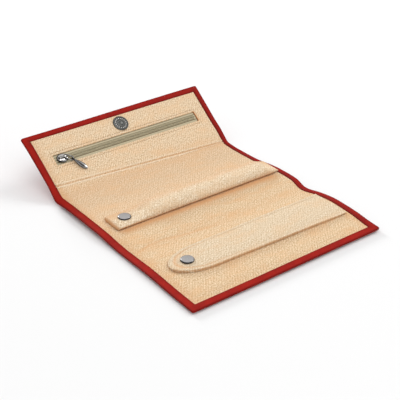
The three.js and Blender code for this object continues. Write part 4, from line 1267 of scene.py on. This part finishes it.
SLIDER_X = -74.5
CROWN_HALF_LENGTH = 5.6
CROWN_HALF_WIDTH = 4.5
CROWN_BASE = 4.75
CROWN_RISE = 1.2
NOSE_RISE = 0.95
SOLE_HALF_LENGTH = 5.5
SOLE_HALF_WIDTH = 4.3
SOLE_PROFILE = [(0.01, 1.8), (0.94, 1.8), (1.0, 2.0), (1.0, 2.4), (0.94, 2.6), (0.01, 2.6)]
ARCH_HALF_LENGTH = 3.95
ARCH_BASE = 5.75
ARCH_RISE = 1.75
ARCH_HALF_WIDTH = 1.15
ARCH_HALF_THICKNESS = 0.42
LOOP_AHEAD = 3.75
LOOP_HEIGHT = 6.5
LOOP_REACH = 6.6
LOOP_HALF_WIDTH = 1.95
LOOP_CORNER = 0.9
LOOP_WIRE = 0.52
EYE_RADIUS = 0.95
EYE_HALF_WIDTH = 0.85
EYE_HALF_THICKNESS = 0.3
PULL_TURN = math.radians(-43)
PULL_DROOP = math.radians(3.4)
PULL_SLACK = math.radians(-12)

# Leaf, as (place along it, half width, half thickness)
LEAF = [
    (1.0, 0.3, 0.3), (1.1, 0.9, 0.62), (2.0, 1.2, 0.7), (3.0, 1.15, 0.62), (4.0, 1.5, 0.66),
    (6.0, 2.1, 0.72), (8.5, 2.55, 0.75), (11.0, 2.6, 0.72), (13.0, 2.25, 0.66), (14.6, 1.65, 0.56),
    (15.6, 0.95, 0.42), (16.0, 0.2, 0.15),
]
LEAF_POINTS = 20


def slider_place(local):
    """Points in metres for places on the slider."""
    x, y, z = local.T
    return flap_place(SLIDER_X + x, ZIP_Y + y, z)


def loop_place(local):
    x, y, z = local.T
    ahead, side = turned(x, y, PULL_TURN)
    return slider_place(np.stack([LOOP_AHEAD + ahead, side, LOOP_HEIGHT + z], 1))


def leaf_place(local):
    x, y, z = local.T
    ahead, up = turned(x, z, -PULL_DROOP)
    ahead, side = turned(ahead, y, PULL_SLACK)
    return loop_place(np.stack([LOOP_REACH + ahead, side, up], 1))


def slider_piece(name, sections, to_part, painted_highlight, ring=False):
    """Lofted piece with its sections in its own place; the last argument paints the faces that look up
    lighter, as a highlight.
    """
    mesh = loft(name, [to_part(section) for section in sections], ring)
    smooth(mesh, 50)
    # Painted highlight on the faces that look up
    paint(mesh, painted_highlight * ease(points_of(mesh, "normal") @ FLAP_UP, 0.75, 0.97))
    return new_object(name, mesh, PAINTED_REFLECTION_NICKEL)


def crown_sections():
    """Dome that is highest at its nose, on the left."""
    sections = []
    for x in CROWN_HALF_LENGTH * np.sin(np.linspace(-1.5, 1.5, 36)):
        inside = 1 - (x / (CROWN_HALF_LENGTH + 0.02)) ** 2
        rise = (CROWN_RISE + NOSE_RISE * hump(x, -2.7, 2.2)) * inside ** 0.3
        across, up = oval(CROWN_HALF_WIDTH * inside ** 0.42, rise, 0.9, 40)
        sections.append(join(x, across, CROWN_BASE + np.maximum(up, 0)))
    return sections


def sole_sections():
    x, y = oval(SOLE_HALF_LENGTH, SOLE_HALF_WIDTH, 0.8, 40)
    return [join(x * share, y * share, z) for share, z in SOLE_PROFILE]


def arch_sections():
    across, thick = oval(ARCH_HALF_WIDTH, ARCH_HALF_THICKNESS, 0.75, 16)
    sections = []
    for turn in np.linspace(0, np.pi, 25):
        c, s = math.cos(turn), math.sin(turn)
        lean = math.atan2(c, 1.4 * s + 0.05)
        x = -ARCH_HALF_LENGTH * boxy(c, 0.7) - thick * math.sin(lean)
        sections.append(join(x, across, ARCH_BASE + ARCH_RISE * s ** 0.6 + thick * math.cos(lean)))
    return sections


def arc(x, y, radius, start, end, count):
    turn = np.linspace(start, end, count)
    return join(x + radius * np.cos(turn), y + radius * np.sin(turn), 0)


def loop_sections():
    """Wire bent round the arch, along both sides and round the eye."""
    quarter = np.pi / 2
    corner_x = LOOP_REACH - LOOP_CORNER
    corner_y = LOOP_HALF_WIDTH - LOOP_CORNER
    side_end = corner_x - 0.3
    path = np.concatenate([
        arc(0, 0, LOOP_HALF_WIDTH, quarter, 3 * quarter, 20),
        join(np.linspace(0.5, side_end, 8), -LOOP_HALF_WIDTH, 0),
        arc(corner_x, -corner_y, LOOP_CORNER, -quarter, 0, 8),
        join(LOOP_REACH, np.linspace(0.25 - corner_y, corner_y - 0.25, 6), 0),
        arc(corner_x, corner_y, LOOP_CORNER, 0, quarter, 8),
        join(np.linspace(side_end, 0.2, 8), LOOP_HALF_WIDTH, 0),
    ])
    turn = circle(12)
    sections = []
    for point, ahead in zip(path, unit(np.gradient(path, axis=0))):
        side = np.array([-ahead[1], ahead[0], 0])
        lift = np.cross(ahead, side)
        sections.append(point + LOOP_WIRE * (np.outer(np.cos(turn), side) + np.outer(np.sin(turn), lift)))
    return sections


leaf_along = np.linspace(LEAF[0][0], LEAF[-1][0], 60)
# Painted highlight, strongest towards the leaf's tip
leaf_painted_highlight = 0.12 + 0.65 * ease(leaf_along, 11.5, 14.8)


def leaf_sections():
    stops, halves, thicks = zip(*LEAF)
    sections = []
    for x in leaf_along:
        across, up = oval(np.interp(x, stops, halves), np.interp(x, stops, thicks), 1.1, LEAF_POINTS)
        sections.append(join(x, across, up))
    return sections


def eye_sections():
    across, out = oval(EYE_HALF_WIDTH, EYE_HALF_THICKNESS, 0.8, 12)
    radius = EYE_RADIUS + out
    return [join(radius * math.cos(turn), across, radius * math.sin(turn)) for turn in circle(24)]


for name, sections, to_part, painted_highlight, body, nodes in (
    ("slider_crown", crown_sections(), slider_place, 1.0, "slider", ["slider_body"]),
    ("slider_sole", sole_sections(), slider_place, 0.1, "slider", []),
    ("slider_arch", arch_sections(), slider_place, 0.5, "slider", ["slider_bridge"]),
    ("pull_loop", loop_sections(), loop_place, 0.6, "pull_link", ["pull_link"]),
    ("pull_leaf", leaf_sections(), leaf_place, np.repeat(leaf_painted_highlight, LEAF_POINTS), "pull_tab", ["pull_tab"]),
):
    dress(slider_piece(name, sections, to_part, painted_highlight), body, nodes)
dress(slider_piece("pull_eye", eye_sections(), leaf_place, 0.1, ring=True), "pull_tab")


# Finish of the solids that stay as they are: studs, posts and washers

BEVEL = 0.15
FINISHES = {"nickel": NICKEL, "dark_steel": GUNMETAL, "ferrite": FERRITE}
for part in frame["record"]["subparts"]:
    finish = FINISHES.get(part["material_slot"])
    if finish:
        node = frame["nodes"][part["node"]]
        node.data.materials.clear()
        node.data.materials.append(finish)
        bevel = node.modifiers.new("Bevel", "BEVEL")
        bevel.width = BEVEL * MM
        bevel.segments = 2
        bevel.limit_method = "ANGLE"
        normals = node.modifiers.new("Weighted", "WEIGHTED_NORMAL")
        normals.keep_sharp = True


# Stage, light and camera

WHITE = (1, 1, 1, 1)
FLOOR_HALF = 3.0
FLOOR_DROP = 1.5
FLOOR_TONE = 0.785
SKY_STRENGTH = (0.42, 0.86)

# The backdrop as (height, strength): white at the horizon, dimmer above, for the camera and for metal
BACKDROP = [(0.0, 1.0), (0.35, 0.58), (1.0, 0.86)]

floor_shader = Shader("floor")
floor_shader.set(Base_Color=(FLOOR_TONE, FLOOR_TONE, FLOOR_TONE, 1), Roughness=0.9, Specular_IOR_Level=0.0)
floor_corners = np.array([(-1, -1, 0), (1, -1, 0), (1, 1, 0), (-1, 1, 0)]) * FLOOR_HALF
floor = new_object("floor", new_mesh("floor", floor_corners, [(0, 1, 2, 3)]), floor_shader.material)
floor.location.z = -FLOOR_DROP * MM

world = bpy.data.worlds.new("studio")
world.use_nodes = True
bpy.context.scene.world = world
world.node_tree.nodes.clear()
sky = Nodes(world.node_tree)
sky_height = sky.out("Z", "SeparateXYZ", {"Vector": sky.out("Generated", "TexCoord")})
light_strength = sky.level(sky_height, SKY_STRENGTH, (0.0, 1.0))
shown_strength = sky.ramp(sky_height, *[(height, (white, white, white, 1)) for height, white in BACKDROP])
light = sky.out("Background", "Background", {"Color": WHITE, "Strength": light_strength})
shown = sky.out("Background", "Background", {"Color": WHITE, "Strength": shown_strength})
rays = sky.node("LightPath").outputs
seen = rays["Is Camera Ray"]
for kind in ("Is Glossy Ray", "Is Transmission Ray"):
    seen = sky.out("Value", "Math", {0: seen, 1: rays[kind]}, operation="MAXIMUM")
sky.node("OutputWorld", {"Surface": sky.out("Shader", "MixShader", {0: seen, 1: light, 2: shown})})


def direction(azimuth, elevation):
    """Unit vector; the azimuth turns from +Y towards +X, in degrees."""
    az, el = math.radians(azimuth), math.radians(elevation)
    return Vector((math.sin(az) * math.cos(el), math.cos(az) * math.cos(el), math.sin(el)))


def aim(name, data, target, out, distance):
    """Puts a lamp or camera at a distance from the target, looking at it."""
    obj = bpy.data.objects.new(name, data)
    bpy.context.scene.collection.objects.link(obj)
    obj.location = target + out * distance
    obj.rotation_euler = out.to_track_quat("Z", "Y").to_euler()
    return obj


# Square lamps: name, azimuth, elevation, size in metres, watts
LAMP_DISTANCE = 3.0
LAMPS = [("right", 97, 42, 1.4, 26.8), ("back", 2, 20, 0.8, 48.0), ("front", 200, 50, 1.8, 25.0)]
for name, azimuth, elevation, size, watts in LAMPS:
    lamp = bpy.data.lights.new(name, "AREA")
    lamp.size = size
    lamp.energy = watts
    aim(name, lamp, Vector((0, 0, 0)), direction(azimuth, elevation), LAMP_DISTANCE)

CAMERA_TARGET = Vector((7.786, -10.833, 0)) * MM
CAMERA_AZIMUTH = 180 + 36.769
CAMERA_ELEVATION = 29.752
CAMERA_DISTANCE = 927.913
camera_data = bpy.data.cameras.new("camera")
camera_data.lens = 92.34
camera_data.sensor_width = 36.0
camera_out = direction(CAMERA_AZIMUTH, CAMERA_ELEVATION)
bpy.context.scene.camera = aim("camera", camera_data, CAMERA_TARGET, camera_out, CAMERA_DISTANCE * MM)
bpy.context.scene.view_settings.view_transform = "Standard"
